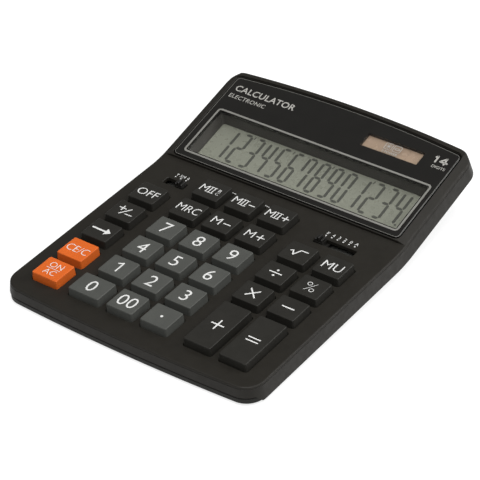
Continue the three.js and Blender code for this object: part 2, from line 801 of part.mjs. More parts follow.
// ---- Board, membrane and wiring ----
function membraneSolid() {
  const width = boardWidth - 2 * sheetMargin;
  const start = boardStart + sheetMargin;
  const end = lastRow + sheetReach;
  let sheet = toSolid(boxAt(0, (start + end) / 2, width, end - start, sheetBottom, sheetTop));
  for (const key of keys) {
    const { x, y } = keyPlace(key);
    const height = keyBottom - clearance - sheetBottom;
    const dome = new THREE.CylinderGeometry(domeTopRadius, domeRadius, height, domeSides);
    dome.rotateX(Math.PI / 2).translate(x, y, sheetBottom + height / 2);
    sheet = sheet.add(toSolid(dome));
  }
  return sheet;
}

function chipGeometry() {
  const shoulder = [chipRadius * chipShoulder, chipHeight * chipShoulder];
  const profile = [[0, 0], [chipRadius, 0], shoulder, [0, chipHeight]];
  const blob = new THREE.LatheGeometry(profile.map(([r, z]) => new THREE.Vector2(r, z)), chipSides);
  return blob.rotateX(-Math.PI / 2).translate(0, boardEnd - chipBack, boardBottom - clearance);
}

function ribbonGeometry() {
  const over = boardTop + clearance;
  const under = lcdBottom - clearance - ribbonThickness;
  const lcdFront = lcdMiddle - lcdWindowDepth / 2;
  const path = [
    fold(boardEnd - ribbonLanding, over),
    fold(boardEnd, over),
    fold(lcdFront - ribbonLanding / 2, under),
    fold(lcdFront + ribbonLanding, under),
  ];
  return strip(path, ribbonThickness, -ribbonWidth / 2, ribbonWidth / 2);
}

function circle(radius, sides) {
  const points = [];
  for (let i = 0; i < sides; i += 1) {
    const angle = (2 * Math.PI * i) / sides;
    points.push(new THREE.Vector2(radius * Math.cos(angle), radius * Math.sin(angle)));
  }
  return new THREE.Shape(points);
}

function leadGeometry(points) {
  const extrudePath = new THREE.CatmullRomCurve3(points);
  const section = circle(leadRadius, leadSides);
  return new THREE.ExtrudeGeometry(section, { steps: leadSteps, bevelEnabled: false, extrudePath });
}

function pointOver(x, t, h) {
  const [y, z] = fold(t, h);
  return new THREE.Vector3(x, y, z);
}

const leadLanding = boardBottom - leadRadius - clearance;

// The leads are routed by hand: down from the solar cell, below the liquid crystal and up to the board.
function addSolarLead(name, x, look) {
  const run = lcdBottom - leadDrop;
  const points = [
    pointOver(x, solarMiddle, solarBottom - leadRadius - clearance),
    pointOver(x, solarMiddle - 3, solarBottom - 5),
    pointOver(x, lcdMiddle + lcdWindowDepth / 2, run),
    pointOver(x, lcdMiddle, run),
    pointOver(x, deckLength + 3, leadLanding - 3.2),
    pointOver(x, boardEnd - landingInset, leadLanding),
  ];
  addMesh(model, name, leadGeometry(points), look);
}

// From a battery contact, out in front of the compartment and up to the board.
function addBatteryLead(name, x, start, look) {
  const points = [
    start,
    new THREE.Vector3(start.x + (x - start.x) * 0.3, start.y - 4, start.z),
    pointOver(x, boardEnd, leadLanding - 0.5),
    pointOver(x, boardEnd - landingInset, leadLanding),
  ];
  addMesh(model, name, leadGeometry(points), look);
}

function addBoardPieces() {
  const middle = (boardStart + boardEnd) / 2;
  const board = boxAt(0, middle, boardWidth, boardEnd - boardStart, boardBottom, boardTop);
  addMesh(deck, 'main_board', board, 'board');
  addMesh(deck, 'key_membrane', toGeometry(membraneSolid()), 'silicone');
  addMesh(deck, 'processor_chip', chipGeometry(), 'epoxy');
  addMesh(model, 'lcd_ribbon', ribbonGeometry(), 'ribbon');
  addSolarLead('solar_lead_positive', solarOffset - leadSpread / 2, 'redLead');
  addSolarLead('solar_lead_negative', solarOffset + leadSpread / 2, 'blackLead');
}

// ---- Battery ----
// The upper contact rests on the compartment's walls and dips towards the cell.
function negativeContact(rest) {
  const half = compartmentWidth / 2 - clearance;
  const dip = rest - contactSpring;
  const path = [
    [cellY - half, rest],
    [cellY - half + contactFoot, rest],
    [cellY - contactFoot, dip],
    [cellY + contactFoot, dip],
    [cellWallInner - contactFoot, rest],
  ];
  return strip(path, contactThickness, cellSide - contactWidth / 2, cellSide + contactWidth / 2);
}

// The side contact stands beside the cell and folds over the compartment's wall.
function positiveContact(rest) {
  const y = cellWallInner + clearance + cellClearance;
  const low = cellBottom + contactSpring + clearance;
  const points = [
    [y, low],
    [y + contactThickness, low],
    [y + contactThickness, rest],
    [y + contactFoot, rest],
    [y + contactFoot, rest + contactThickness],
    [y, rest + contactThickness],
  ];
  return alongX(points, cellSide - contactWidth / 2, cellSide + contactWidth / 2);
}

function addBatteryPieces() {
  const cell = cylinderAt(cellSide, cellY, cellRadius, cellBottom, cellTop, cellSides);
  addMesh(model, 'button_cell', cell, 'steel');
  addMesh(model, 'battery_door', boxAt(cellSide, cellY, doorSize, doorSize, standOff, doorTop), 'case');
  const rest = compartmentTop + clearance;
  addMesh(model, 'battery_contact_negative', negativeContact(rest), 'steel');
  addMesh(model, 'battery_contact_positive', positiveContact(rest), 'steel');
  const leadZ = rest + contactThickness + leadRadius + clearance;
  const front = new THREE.Vector3(cellSide, cellY - compartmentWidth / 2 + 2, leadZ);
  const back = new THREE.Vector3(cellSide + 1, cellWallInner + contactFoot, leadZ);
  addBatteryLead('battery_lead_negative', cellSide - 4, front, 'blackLead');
  addBatteryLead('battery_lead_positive', cellSide + compartmentWidth / 2 + 8, back, 'redLead');
}

// ---- Screws and feet ----
function screwGeometry() {
  const profile = [
    [0, 0],
    [screwHeadRadius, 0],
    [screwHeadRadius, screwHeadHeight],
    [screwRadius, screwHeadHeight],
    [screwRadius, screwLength - screwTip],
    [0, screwLength],
  ];
  const lathe = new THREE.LatheGeometry(profile.map(([r, z]) => new THREE.Vector2(r, z)), screwSides);
  return lathe.rotateX(Math.PI / 2);
}

function footGeometry() {
  const height = standOff + footSeat - clearance;
  const profile = [
    [0, 0],
    [footRadius - footChamfer, 0],
    [footRadius, footChamfer],
    [footRadius, height],
    [0, height],
  ];
  const lathe = new THREE.LatheGeometry(profile.map(([r, z]) => new THREE.Vector2(r, z)), footSides);
  return lathe.rotateX(Math.PI / 2);
}

function addFasteners() {
  for (const { name, x, y } of screwList()) {
    addMesh(model, `case_screw_${name}`, screwGeometry(), 'steel').position.set(x, y, standOff);
  }
  for (const { name, x, y } of footList()) {
    addMesh(model, `foot_${name}`, footGeometry(), 'rubber').position.set(x, y, 0);
  }
}

// ---- Assembly ----
addMesh(model, 'upper_housing', toGeometry(upperHousingSolid()), 'case');
addMesh(model, 'lower_housing', toGeometry(lowerHousingSolid()), 'case');
for (const key of keys) {
  addMesh(deck, key.name, keyGeometry(key), key.look);
}
for (const slide of switches) {
  addMesh(deck, `${slide.name}_knob`, knobGeometry(slide), 'blackKey');
}
addDisplayPieces();
addBoardPieces();
addBatteryPieces();
addFasteners();

// The case is centred on the origin.
const middle = new THREE.Box3().setFromObject(model).getCenter(new THREE.Vector3());
model.position.set(-middle.x, -middle.y, 0);

export default model;
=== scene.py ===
"""Looks of the desk calculator: fine housings, dished keycaps with printed legends, the glossy display panel
with its liquid crystal, the switches and the underside, in a plain studio. Sizes are in millimetres until a
piece is placed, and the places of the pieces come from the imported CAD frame."""

import json
import math

import bmesh
import bpy
from mathutils import Matrix, Vector


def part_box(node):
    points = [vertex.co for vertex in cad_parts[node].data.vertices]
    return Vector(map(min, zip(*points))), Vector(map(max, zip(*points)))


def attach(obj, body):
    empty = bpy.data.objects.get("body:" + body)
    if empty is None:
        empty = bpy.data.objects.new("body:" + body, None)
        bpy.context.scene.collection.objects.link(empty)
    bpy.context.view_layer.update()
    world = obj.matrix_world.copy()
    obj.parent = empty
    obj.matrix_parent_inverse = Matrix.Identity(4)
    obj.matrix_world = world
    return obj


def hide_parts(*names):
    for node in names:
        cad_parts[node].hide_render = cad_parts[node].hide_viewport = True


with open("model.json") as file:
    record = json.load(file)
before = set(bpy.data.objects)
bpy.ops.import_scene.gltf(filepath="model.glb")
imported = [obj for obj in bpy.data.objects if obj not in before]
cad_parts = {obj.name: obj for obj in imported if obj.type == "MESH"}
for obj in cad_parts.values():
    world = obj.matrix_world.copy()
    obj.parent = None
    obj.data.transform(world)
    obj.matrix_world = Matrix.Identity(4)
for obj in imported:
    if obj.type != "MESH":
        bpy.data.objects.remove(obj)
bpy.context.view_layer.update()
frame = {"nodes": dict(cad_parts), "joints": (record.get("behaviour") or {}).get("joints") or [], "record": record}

MM = 0.001

# ---- Sizes of the case ----
DISPLAY_TILT = math.radians(15.7)
BEND_LENGTH = 14
WALL_HEIGHT = 9.4
WALL_FLARE = 1.1
HOUSING_WALL = 2
FRONT_BOW = 2.4
BACK_BOW = 4
FRONT_CORNER = 10
BACK_CORNER = 9
RIM_FILLET = 0.8
RIM_GROOVE = 0.25
LIP_HEIGHT = 6.5
LIP_RUN = 6
PARTING_GAP = 0.3
PARTING_SHADOW = 0.4
LIP_INSET = -0.45
LIP_TUCK = 1
LOWER_INSET = 1
FLOOR_THICKNESS = 1.8
LOWER_DEPTH = 40
FAR = 300
DEEP = 40
CUT_DEPTH = 10

# ---- Sizes on the case ----
KEY_RISE = 4.3
KEY_FLANGE = 0.9
KEY_FLANGE_THICKNESS = 0.7
KEY_TAPER = 0.3
KEY_CORNER = 1.1
KEY_FILLET = 0.45
KEY_DISH = 0.22
KEY_CLEARANCE = 0.35
FIRST_ROW = 19.9
BACK_MARGIN = 5.65
PLATFORM_START = 4
PLATFORM_RISE = 1.6
PLATFORM_INSET = 0.4
PLATFORM_SLOPE = 4.6
PANEL_START = 5.4
PANEL_THICKNESS = 1.6
PANEL_CORNER = 2.6
PANEL_BOW = 4
PANEL_GROOVE = 0.6
BACK_LIP = 3.6
BACK_LIP_RISE = 0.8
BACK_LIP_INSET = 5
SEAT = 0.3
INK = 0.06
INK_SUNK = 0.08
OPENING_CHAMFER = 0.22
CORNERS = ("front_left", "front_right", "back_left", "back_right")


# ---- Places from the frame ----
def turned_box(node, tilt):
    """A node's lowest and highest corner in millimetres, in axes turned by tilt about X."""
    turn = Matrix.Rotation(-tilt, 3, "X")
    points = [turn @ vertex.co / MM for vertex in frame["nodes"][node].data.vertices]
    low = Vector([min(point[axis] for point in points) for axis in range(3)])
    high = Vector([max(point[axis] for point in points) for axis in range(3)])
    return low, high


def joint_axis(name):
    return next(joint["axis"] for joint in frame["joints"] if joint["name"] == name)


press = joint_axis("key_1_press")
DECK_TILT = math.atan2(press[1], -press[2])
first_low, first_high = turned_box("key_on_ac", DECK_TILT)
CREASE_RUN = (first_low.y + first_high.y) / 2 - FIRST_ROW
CREASE_LEVEL = first_high.z - KEY_RISE
CREASE_Y = CREASE_RUN * math.cos(DECK_TILT) - CREASE_LEVEL * math.sin(DECK_TILT)
CREASE_Z = CREASE_RUN * math.sin(DECK_TILT) + CREASE_LEVEL * math.cos(DECK_TILT)
DECK_LENGTH = turned_box("key_mii_plus", DECK_TILT)[1].y - CREASE_RUN - KEY_FLANGE + BACK_MARGIN
BEND_START = DECK_LENGTH - BEND_LENGTH / 2
BEND_RADIUS = BEND_LENGTH / (DISPLAY_TILT - DECK_TILT)
window_low, window_high = turned_box("display_window", DISPLAY_TILT)
DISPLAY_LENGTH = window_high.y - window_low.y + PANEL_START + BACK_LIP
FLAT_LENGTH = DECK_LENGTH + DISPLAY_LENGTH
HALF_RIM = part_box("upper_housing")[1].x / MM - WALL_FLARE
STAND_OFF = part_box("lower_housing")[0].z / MM


def fold(t, h):
    """World y and z of a point at distance t from the front crease and height h, around the bend."""
    along = min(max(t - BEND_START, 0), BEND_LENGTH)
    angle = DECK_TILT + along / BEND_RADIUS
    before = min(t, BEND_START)
    after = max(t - BEND_START - BEND_LENGTH, 0)
    y = CREASE_Y + before * math.cos(DECK_TILT) + after * math.cos(angle) - h * math.sin(angle)
    y += BEND_RADIUS * (math.sin(angle) - math.sin(DECK_TILT))
    z = CREASE_Z + before * math.sin(DECK_TILT) + after * math.sin(angle) + h * math.cos(angle)
    z += BEND_RADIUS * (math.cos(DECK_TILT) - math.cos(angle))
    return y, z


def slope_matrix(t, tilt):
    """From x, t and h on a flat slope to the world, in millimetres."""
    y, z = fold(t, 0)
    place = Vector((0, y - t * math.cos(tilt), z - t * math.sin(tilt)))
    return Matrix.Translation(place) @ Matrix.Rotation(tilt, 4, "X")


DECK = slope_matrix(0, DECK_TILT)
DISPLAY = slope_matrix(FLAT_LENGTH, DISPLAY_TILT)


def on_deck(point):
    return DECK @ Vector(point)


def on_display(point):
    return DISPLAY @ Vector(point)


def folded(point):
    return Vector((point[0], *fold(point[1], point[2])))


def upright(point):
    return Vector(point)


def slope_box(node, matrix, tilt):
    """A node's corners in a slope's own x, t and h."""
    low, high = turned_box(node, tilt)
    origin = Matrix.Rotation(-tilt, 3, "X") @ matrix.translation
    return low - origin, high - origin


# ---- Meshes ----
SOFT_TURN = math.radians(35)


def loft(sections, loops=None):
    """Points and faces of a closed solid between stacked outlines, each with its height."""
    count = len(sections[0][0])
    points = [(x, t, h) for outline, h in sections for x, t in outline]
    faces = []
    for level in range(len(sections) - 1):
        for i in range(count):
            a = level * count + i
            b = level * count + (i + 1) % count
            faces.append((a, b, b + count, a + count))
    last = (len(sections) - 1) * count
    for loop in loops or [list(range(count))]:
        faces.append(tuple(reversed(loop)))
        faces.append(tuple(last + i for i in loop))
    return points, faces


def ringed(sections):
    """Like loft, for a ring: each section is an outer outline and an inner one with as many points."""
    count = len(sections[0][0])
    points = []
    for outer, inner, h in sections:
        points += [(x, t, h) for x, t in outer] + [(x, t, h) for x, t in inner]
    faces = []
    for level in range(len(sections) - 1):
        base = level * 2 * count
        for i in range(count):
            j = (i + 1) % count
            faces.append((base + i, base + j, base + j + 2 * count, base + i + 2 * count))
            faces.append((base + count + j, base + count + i, base + 3 * count + i, base + 3 * count + j))
    top = (len(sections) - 1) * 2 * count
    for i in range(count):
        j = (i + 1) % count
        faces.append((j, i, count + i, count + j))
        faces.append((top + i, top + j, top + count + j, top + count + i))
    return points, faces


def joined(parts):
    """Several sets of points and faces as one."""
    points = []
    faces = []
    for more_points, more_faces in parts:
        start = len(points)
        points += more_points
        faces += [tuple(start + i for i in face) for face in more_faces]
    return points, faces


def new_object(name, points, faces, place=upright):
    mesh = bpy.data.meshes.new(name)
    mesh.from_pydata([place(point) for point in points], [], faces)
    obj = bpy.data.objects.new(name, mesh)
    bpy.context.scene.collection.objects.link(obj)
    return obj


def evaluated_mesh(obj):
    graph = bpy.context.evaluated_depsgraph_get()
    return bpy.data.meshes.new_from_object(obj.evaluated_get(graph))


def combine(target, tool, operation):
    modifier = target.modifiers.new(operation, "BOOLEAN")
    modifier.operation = operation
    modifier.solver = "EXACT"
    modifier.object = tool
    mesh = evaluated_mesh(target)
    target.modifiers.clear()
    target.data = mesh
    bpy.data.objects.remove(tool)


def soften(obj, width, segments=3):
    """Rounds every edge that turns by more than SOFT_TURN."""
    modifier = obj.modifiers.new("soften", "BEVEL")
    modifier.width = width
    modifier.segments = segments
    modifier.limit_method = "ANGLE"
    modifier.angle_limit = SOFT_TURN
    mesh = evaluated_mesh(obj)
    obj.modifiers.clear()
    obj.data = mesh


def dress(obj, material, body, slot, *nodes, sharp=34, weighted=True):
    """Brings a finished piece to metres, smooths it, and gives it its material, body and CAD nodes. slot is not
    used.
    """
    obj.data.transform(Matrix.Scale(MM, 4))
    obj.data.shade_smooth()
    obj.data.set_sharp_from_angle(angle=math.radians(sharp))
    obj.data.materials.clear()
    obj.data.materials.append(material)
    if weighted:
        modifier = obj.modifiers.new("normals", "WEIGHTED_NORMAL")
        modifier.keep_sharp = True
    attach(obj, body)
    if nodes:
        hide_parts(*nodes)
    return obj


def rounded(x, t, width, depth, radius, steps=6):
    points = []
    for side_x, side_t, start in ((1, -1, -90), (1, 1, 0), (-1, 1, 90), (-1, -1, 180)):
        for i in range(steps + 1):
            angle = math.radians(start + 90 * i / steps)
            middle_x = x + side_x * (width / 2 - radius)
            middle_t = t + side_t * (depth / 2 - radius)
            points.append((middle_x + radius * math.cos(angle), middle_t + radius * math.sin(angle)))
    return points


def circle(x, y, radius, sides):
    turns = [2 * math.pi * i / sides for i in range(sides)]
    return [(x + radius * math.cos(turn), y + radius * math.sin(turn)) for turn in turns]


def bowed_edge(half, y, bow, radius, side, bow_steps=28, corner_steps=10):
    """One bulging edge of a plan outline and its rounded corners, from left to right; side is -1 in front."""
    reach = half - radius
    slope = math.atan(2 * bow * reach / half**2)
    edge_x = reach + radius * math.sin(slope)
    corner_y = y - side * bow * (edge_x / half) ** 2 - side * radius * math.cos(slope)
    corner = []
    for i in range(corner_steps + 1):
        angle = (math.pi / 2 - slope) * i / corner_steps
        corner.append((reach + radius * math.cos(angle), corner_y + side * radius * math.sin(angle)))
    middle = []
    for i in range(1, bow_steps):
        x = 2 * edge_x * i / bow_steps - edge_x
        middle.append((x, y - side * bow * (x / half) ** 2))
    return [(-x, t) for x, t in corner] + middle + corner[::-1]


BEND_STEPS = 14
BEND_STATIONS = [BEND_START + BEND_LENGTH * i / BEND_STEPS for i in range(BEND_STEPS + 1)]


def case_edges(inset):
    half = HALF_RIM - inset
    front = bowed_edge(half, inset, FRONT_BOW, max(FRONT_CORNER - inset, 1), -1)
    back = bowed_edge(half, FLAT_LENGTH - inset, BACK_BOW, max(BACK_CORNER - inset, 1), 1)
    return half, front, back


def case_outline(inset):
    half, front, back = case_edges(inset)
    right = [(half, t) for t in BEND_STATIONS]
    return front + right + back[::-1] + [(-x, t) for x, t in right[::-1]]


def case_loops():
    """The case outline's strips between the steps of the bend, as lists of point numbers."""
    half, front, back = case_edges(0)
    steps = len(BEND_STATIONS)
    right = len(front)
    left = right + steps + len(back)
    loops = [list(range(right + 1)) + [left + steps - 1]]
    for i in range(steps - 1):
        loops.append([right + i, right + i + 1, left + steps - 2 - i, left + steps - 1 - i])
    loops.append(list(range(right + steps - 1, right + steps + len(back) + 1)))
    return loops


def folded_case(name, levels):
    """A solid between case outlines, bent; each level is an inset and a height."""
    points, faces = loft([(case_outline(inset), h) for inset, h in levels], case_loops())
    return new_object(name, points, faces, folded)


def block(low, high):
    outline = [(low[0], low[1]), (high[0], low[1]), (high[0], high[1]), (low[0], high[1])]
    return loft([(outline, low[2]), (outline, high[2])])


def along_x(section, low, high):
    """A prism along X from a closed outline of t and h."""
    points, faces = loft([(section, low), (section, high)])
    return [(x, t, h) for t, h, x in points], faces


def capsule(a, b, width, steps=6):
    """A stroke with round ends from a to b, as an outline."""
    direction = math.atan2(b[1] - a[1], b[0] - a[0])
    outline = []
    for centre, start in ((b, -90), (a, 90)):
        for i in range(steps + 1):
            angle = direction + math.radians(start + 180 * i / steps)
            outline.append((centre[0] + width / 2 * math.cos(angle), centre[1] + width / 2 * math.sin(angle)))
    return outline


# ---- Materials ----
def linear(*srgb):
    """A colour given in 0 to 255 sRGB, as linear light."""
    shares = [value / 255 for value in srgb]
    return [s / 12.92 if s <= 0.04045 else ((s + 0.055) / 1.055) ** 2.4 for s in shares] + [1]


def noise_node(tree, coordinates, size, detail=2.0):
    """Noise with features of about size millimetres."""
    noise = tree.nodes.new("ShaderNodeTexNoise")
    noise.inputs["Scale"].default_value = 1 / (size * MM)
    noise.inputs["Detail"].default_value = detail
    tree.links.new(coordinates.outputs["Object"], noise.inputs["Vector"])
    return noise


def ranged(tree, source, low, high):
    """A share from noise, stretched to run from low to high."""
    spread = tree.nodes.new("ShaderNodeMapRange")
    spread.inputs["From Min"].default_value = 0.3
    spread.inputs["From Max"].default_value = 0.7
    spread.inputs["To Min"].default_value = low
    spread.inputs["To Max"].default_value = high
    tree.links.new(source.outputs["Fac"], spread.inputs["Value"])
    return spread


def surface(name, colour, roughness, grain=0.3, bump=0.12, mottle=0.08, spread=0.06, **sockets):
    """Moulded or printed stuff: a fine grain in its relief, and slow changes in its colour and gloss.
    mottle is the colour's share of change, and sockets are further values of the Principled shader."""
    material = bpy.data.materials.new(name)
    material.use_nodes = True
    tree = material.node_tree
    shader = tree.nodes["Principled BSDF"]
    coordinates = tree.nodes.new("ShaderNodeTexCoord")
    blotch = noise_node(tree, coordinates, 9.0, 3.0)
    mix = tree.nodes.new("ShaderNodeMix")
    mix.data_type = "RGBA"
    mix.inputs["A"].default_value = [value * (1 - mottle) for value in colour[:3]] + [1]
    mix.inputs["B"].default_value = [value * (1 + mottle) for value in colour[:3]] + [1]
    tree.links.new(ranged(tree, blotch, 0, 1).outputs["Result"], mix.inputs["Factor"])
    tree.links.new(mix.outputs["Result"], shader.inputs["Base Color"])
    gloss = noise_node(tree, coordinates, 3.0)
    gloss_range = ranged(tree, gloss, roughness - spread, roughness + spread)
    tree.links.new(gloss_range.outputs["Result"], shader.inputs["Roughness"])
    if bump:
        relief = tree.nodes.new("ShaderNodeBump")
        relief.inputs["Strength"].default_value = bump
        relief.inputs["Distance"].default_value = 0.1 * MM
        tree.links.new(noise_node(tree, coordinates, grain).outputs["Fac"], relief.inputs["Height"])
        tree.links.new(relief.outputs["Normal"], shader.inputs["Normal"])
    for socket, value in sockets.items():
        shader.inputs[socket.replace("_", " ")].default_value = value
    return material


MATTE = {"Specular_IOR_Level": 0.18}
CASE = surface("case_plastic", linear(29, 27, 23), 0.5, grain=0.35, bump=0.25, mottle=0.06, **MATTE)
LOWER = surface("lower_plastic", linear(27, 26, 23), 0.53, grain=0.35, bump=0.25, mottle=0.06, **MATTE)
BLACK_KEY = surface("black_key_plastic", linear(33, 32, 29), 0.44, grain=0.22, bump=0.14, **MATTE)
GREY_KEY = surface("grey_key_plastic", linear(66, 67, 64), 0.44, grain=0.22, bump=0.14, mottle=0.05, **MATTE)
ORANGE_KEY = surface("orange_key_plastic", linear(186, 86, 30), 0.4, grain=0.22, bump=0.12, mottle=0.04,
                     **MATTE)
KNOB = surface("knob_plastic", linear(24, 23, 21), 0.34, grain=0.22, bump=0.1)
PANEL = surface("panel_acrylic", linear(19, 18, 16), 0.09, bump=0, mottle=0.1, spread=0.02)
PANE = surface("clear_pane", linear(60, 60, 58), 0.06, bump=0, mottle=0.01, spread=0.01, Alpha=0.05)
BEZEL = surface("bezel_plastic", linear(60, 58, 54), 0.5, grain=0.3, bump=0.15)
LCD = surface("liquid_crystal", linear(122, 124, 112), 0.3, grain=0.4, bump=0.02, mottle=0.015)
LCD_INK = surface("lcd_segment", linear(68, 69, 63), 0.35, bump=0, mottle=0.04)
SILVER = surface("silver_line", linear(124, 123, 118), 0.35, grain=0.12, bump=0.08, mottle=0.05, Metallic=0.2)
# Lighter grey for a ring printed round the panel's edge: a painted highlight where the polished edge would catch
# the light.
PANEL_EDGE_HIGHLIGHT = surface("polished_edge", linear(96, 95, 91), 0.2, bump=0, mottle=0.05)
WHITE_INK = surface("white_ink", linear(194, 194, 192), 0.42, grain=0.15, bump=0.06, mottle=0.02)
GREY_INK = surface("grey_ink", linear(150, 148, 143), 0.42, grain=0.15, bump=0.06, mottle=0.03)
SOLAR = surface("solar_cell", linear(150, 130, 111), 0.25, grain=1.2, bump=0.05, mottle=0.07)
SOLAR_LINE = surface("solar_grid", linear(126, 108, 92), 0.3, bump=0, mottle=0.05)
BOARD = surface("solder_mask", linear(24, 84, 46), 0.35, grain=1.5, bump=0.15)
SILICONE = surface("silicone", linear(60, 60, 57), 0.55, grain=0.6, bump=0.1)
EPOXY = surface("epoxy", linear(22, 22, 22), 0.2, grain=2.0, bump=0.1)
RIBBON = surface("polyimide", linear(205, 150, 70), 0.3, grain=0.8, bump=0.1)
STEEL = surface("plated_steel", linear(190, 190, 188), 0.28, grain=0.15, bump=0.06, Metallic=1.0)
RUBBER = surface("rubber", linear(30, 30, 30), 0.75, grain=0.4, bump=0.35)
RED_LEAD = surface("red_insulation", linear(175, 30, 24), 0.4, grain=0.5, bump=0.05)
BLACK_LEAD = surface("black_insulation", linear(24, 24, 24), 0.4, grain=0.5, bump=0.05)

KEY_LOOKS = {"orange_key": ORANGE_KEY, "grey_key": GREY_KEY, "black_key": BLACK_KEY}


# ---- Keys ----
slots = {part["node"]: part["material_slot"] for part in frame["record"]["subparts"]}
key_names = [name for name in frame["nodes"] if f"{name}_press" in {j["name"] for j in frame["joints"]}]


class Key:
    """A key's footprint on the deck, from its CAD node without the flange."""

    def __init__(self, name):
        low, high = slope_box(name, DECK, DECK_TILT)
        self.name = name
        self.x = (low.x + high.x) / 2
        self.t = (low.y + high.y) / 2
        self.width = high.x - low.x - 2 * KEY_FLANGE
        self.depth = high.y - low.y - 2 * KEY_FLANGE
        self.bottom = low.z

    def outline(self, grow):
        radius = max(KEY_CORNER + grow, 0.3)
        return rounded(self.x, self.t, self.width + 2 * grow, self.depth + 2 * grow, radius)

    def dish(self, x, t):
        """Height of the hollowed top at a point."""
        across = 1 - min(1, abs(x - self.x) / (self.width / 2 - KEY_TAPER)) ** 2
        along = 1 - min(1, abs(t - self.t) / (self.depth / 2 - KEY_TAPER)) ** 2
        return KEY_RISE - KEY_DISH * across * along


keys = {name: Key(name) for name in key_names}


def keycap(key):
    flange_top = key.bottom + KEY_FLANGE_THICKNESS
    sections = [(key.outline(KEY_FLANGE), key.bottom), (key.outline(KEY_FLANGE), flange_top)]
    sections += [(key.outline(0), flange_top), (key.outline(0), 0)]
    for i in range(5):
        angle = math.radians(90 * i / 4)
        inset = KEY_TAPER + KEY_FILLET * (1 - math.cos(angle))
        sections.append((key.outline(-inset), KEY_RISE - KEY_FILLET * (1 - math.sin(angle))))
    points, faces = loft(sections)
    rim = points[-len(sections[0][0]):]
    faces.pop()
    for share in (0.93, 0.82, 0.66, 0.46, 0.22):
        start = len(points)
        for x, t, _ in rim:
            ring_x = key.x + (x - key.x) * share
            ring_t = key.t + (t - key.t) * share
            points.append((ring_x, ring_t, key.dish(ring_x, ring_t)))
        for i in range(len(rim)):
            j = (i + 1) % len(rim)
            faces.append((start - len(rim) + i, start - len(rim) + j, start + j, start + i))
    faces.append(tuple(range(len(points) - len(rim), len(points))))
    return points, faces


for key in keys.values():
    cap = new_object(f"cap_{key.name}", *keycap(key), on_deck)
    dress(cap, KEY_LOOKS[slots[key.name]], key.name, slots[key.name], key.name)


# ---- Lettering ----
def lettering(text, height, weight=0.0, squeeze=1.0, gap=1.0):
    """Points and triangles of a line of built-in type, that tall from its lowest point to its highest and
    centred on 0, 0. Its points lie at height -1 below and 1 above."""
    curve = bpy.data.curves.new("type", "FONT")
    curve.body = text
    curve.offset = weight
    curve.space_character = gap
    curve.extrude = 1
    curve.resolution_u = 4
    sample = bpy.data.objects.new("type", curve)
    bpy.context.scene.collection.objects.link(sample)
    mesh = evaluated_mesh(sample)
    bpy.data.objects.remove(sample)
    form = bmesh.new()
    form.from_mesh(mesh)
    bmesh.ops.remove_doubles(form, verts=form.verts, dist=1e-4)
    form.verts.index_update()
    points = [tuple(vertex.co) for vertex in form.verts]
    faces = [tuple(vertex.index for vertex in face.verts) for face in form.faces]
    form.free()
    low_x, high_x = min(p[0] for p in points), max(p[0] for p in points)
    low_y, high_y = min(p[1] for p in points), max(p[1] for p in points)
    scale = height / (high_y - low_y)
    middle_x, middle_y = (low_x + high_x) / 2, (low_y + high_y) / 2
    placed = [((x - middle_x) * scale * squeeze, (y - middle_y) * scale, z) for x, y, z in points]
    return placed, faces


def strokes(width, *lines):
    """Round-ended strokes along lines of points."""
    parts = []
    for line in lines:
        for a, b in zip(line, line[1:]):
            parts.append(loft([(capsule(a, b, width), -1), (capsule(a, b, width), 1)]))
    return joined(parts)


def dots(radius, *centres):
    return joined([loft([(circle(x, y, radius, 14), -1), (circle(x, y, radius, 14), 1)]) for x, y in centres])


def moved(part, x, t):
    points, faces = part
    return [(px + x, pt + t, h) for px, pt, h in points], faces


def printed(name, part, top, place, material, body, slot):
    """A thin print on a surface whose height is top(x, t)."""
    points, faces = part
    laid = [(x, t, top(x, t) + (INK if h > 0 else -INK_SUNK)) for x, t, h in points]
    ink = new_object(name, laid, faces, place)
    return dress(ink, material, body, slot, weighted=False)


def arrow_right(length, width, head):
    tail = strokes(width, [(-length / 2, 0), (length / 2 - head, 0)])
    tip = [(length / 2 - head, -head * 0.8), (length / 2, 0), (length / 2 - head, head * 0.8)]
    return joined([tail, loft([(tip, -1), (tip, 1)])])


def sign_marks():
    plus = strokes(0.65, [(-4.8, 1.8), (-0.9, 1.8)], [(-2.85, 0.1), (-2.85, 3.5)])
    slash = strokes(0.65, [(-2.1, -2.9), (2.1, 2.9)])
    minus = strokes(0.65, [(1.2, -1.8), (5.1, -1.8)])
    return joined([plus, slash, minus])


def memory_one(mark):
    """The first memory, with its mark after it."""
    return joined([moved(lettering("M", 5.3, -0.01), -2.9, 0), mark])


def memory_two(mark):
    """The roman second memory, with its mark after it."""
    name = moved(lettering("M", 5.2, -0.008, 0.9), -4.4, 0)
    twos = strokes(0.55, [(-0.8, -2.4), (-0.8, 2.4)], [(1.1, -2.4), (1.1, 2.4)])
    bars = strokes(0.35, [(-1.7, 2.45), (2.0, 2.45)], [(-1.7, -2.45), (2.0, -2.45)])
    return joined([name, twos, bars, mark])


def plus_mark(reach, width):
    return strokes(width, [(-reach, 0), (reach, 0)], [(0, -reach), (0, reach)])


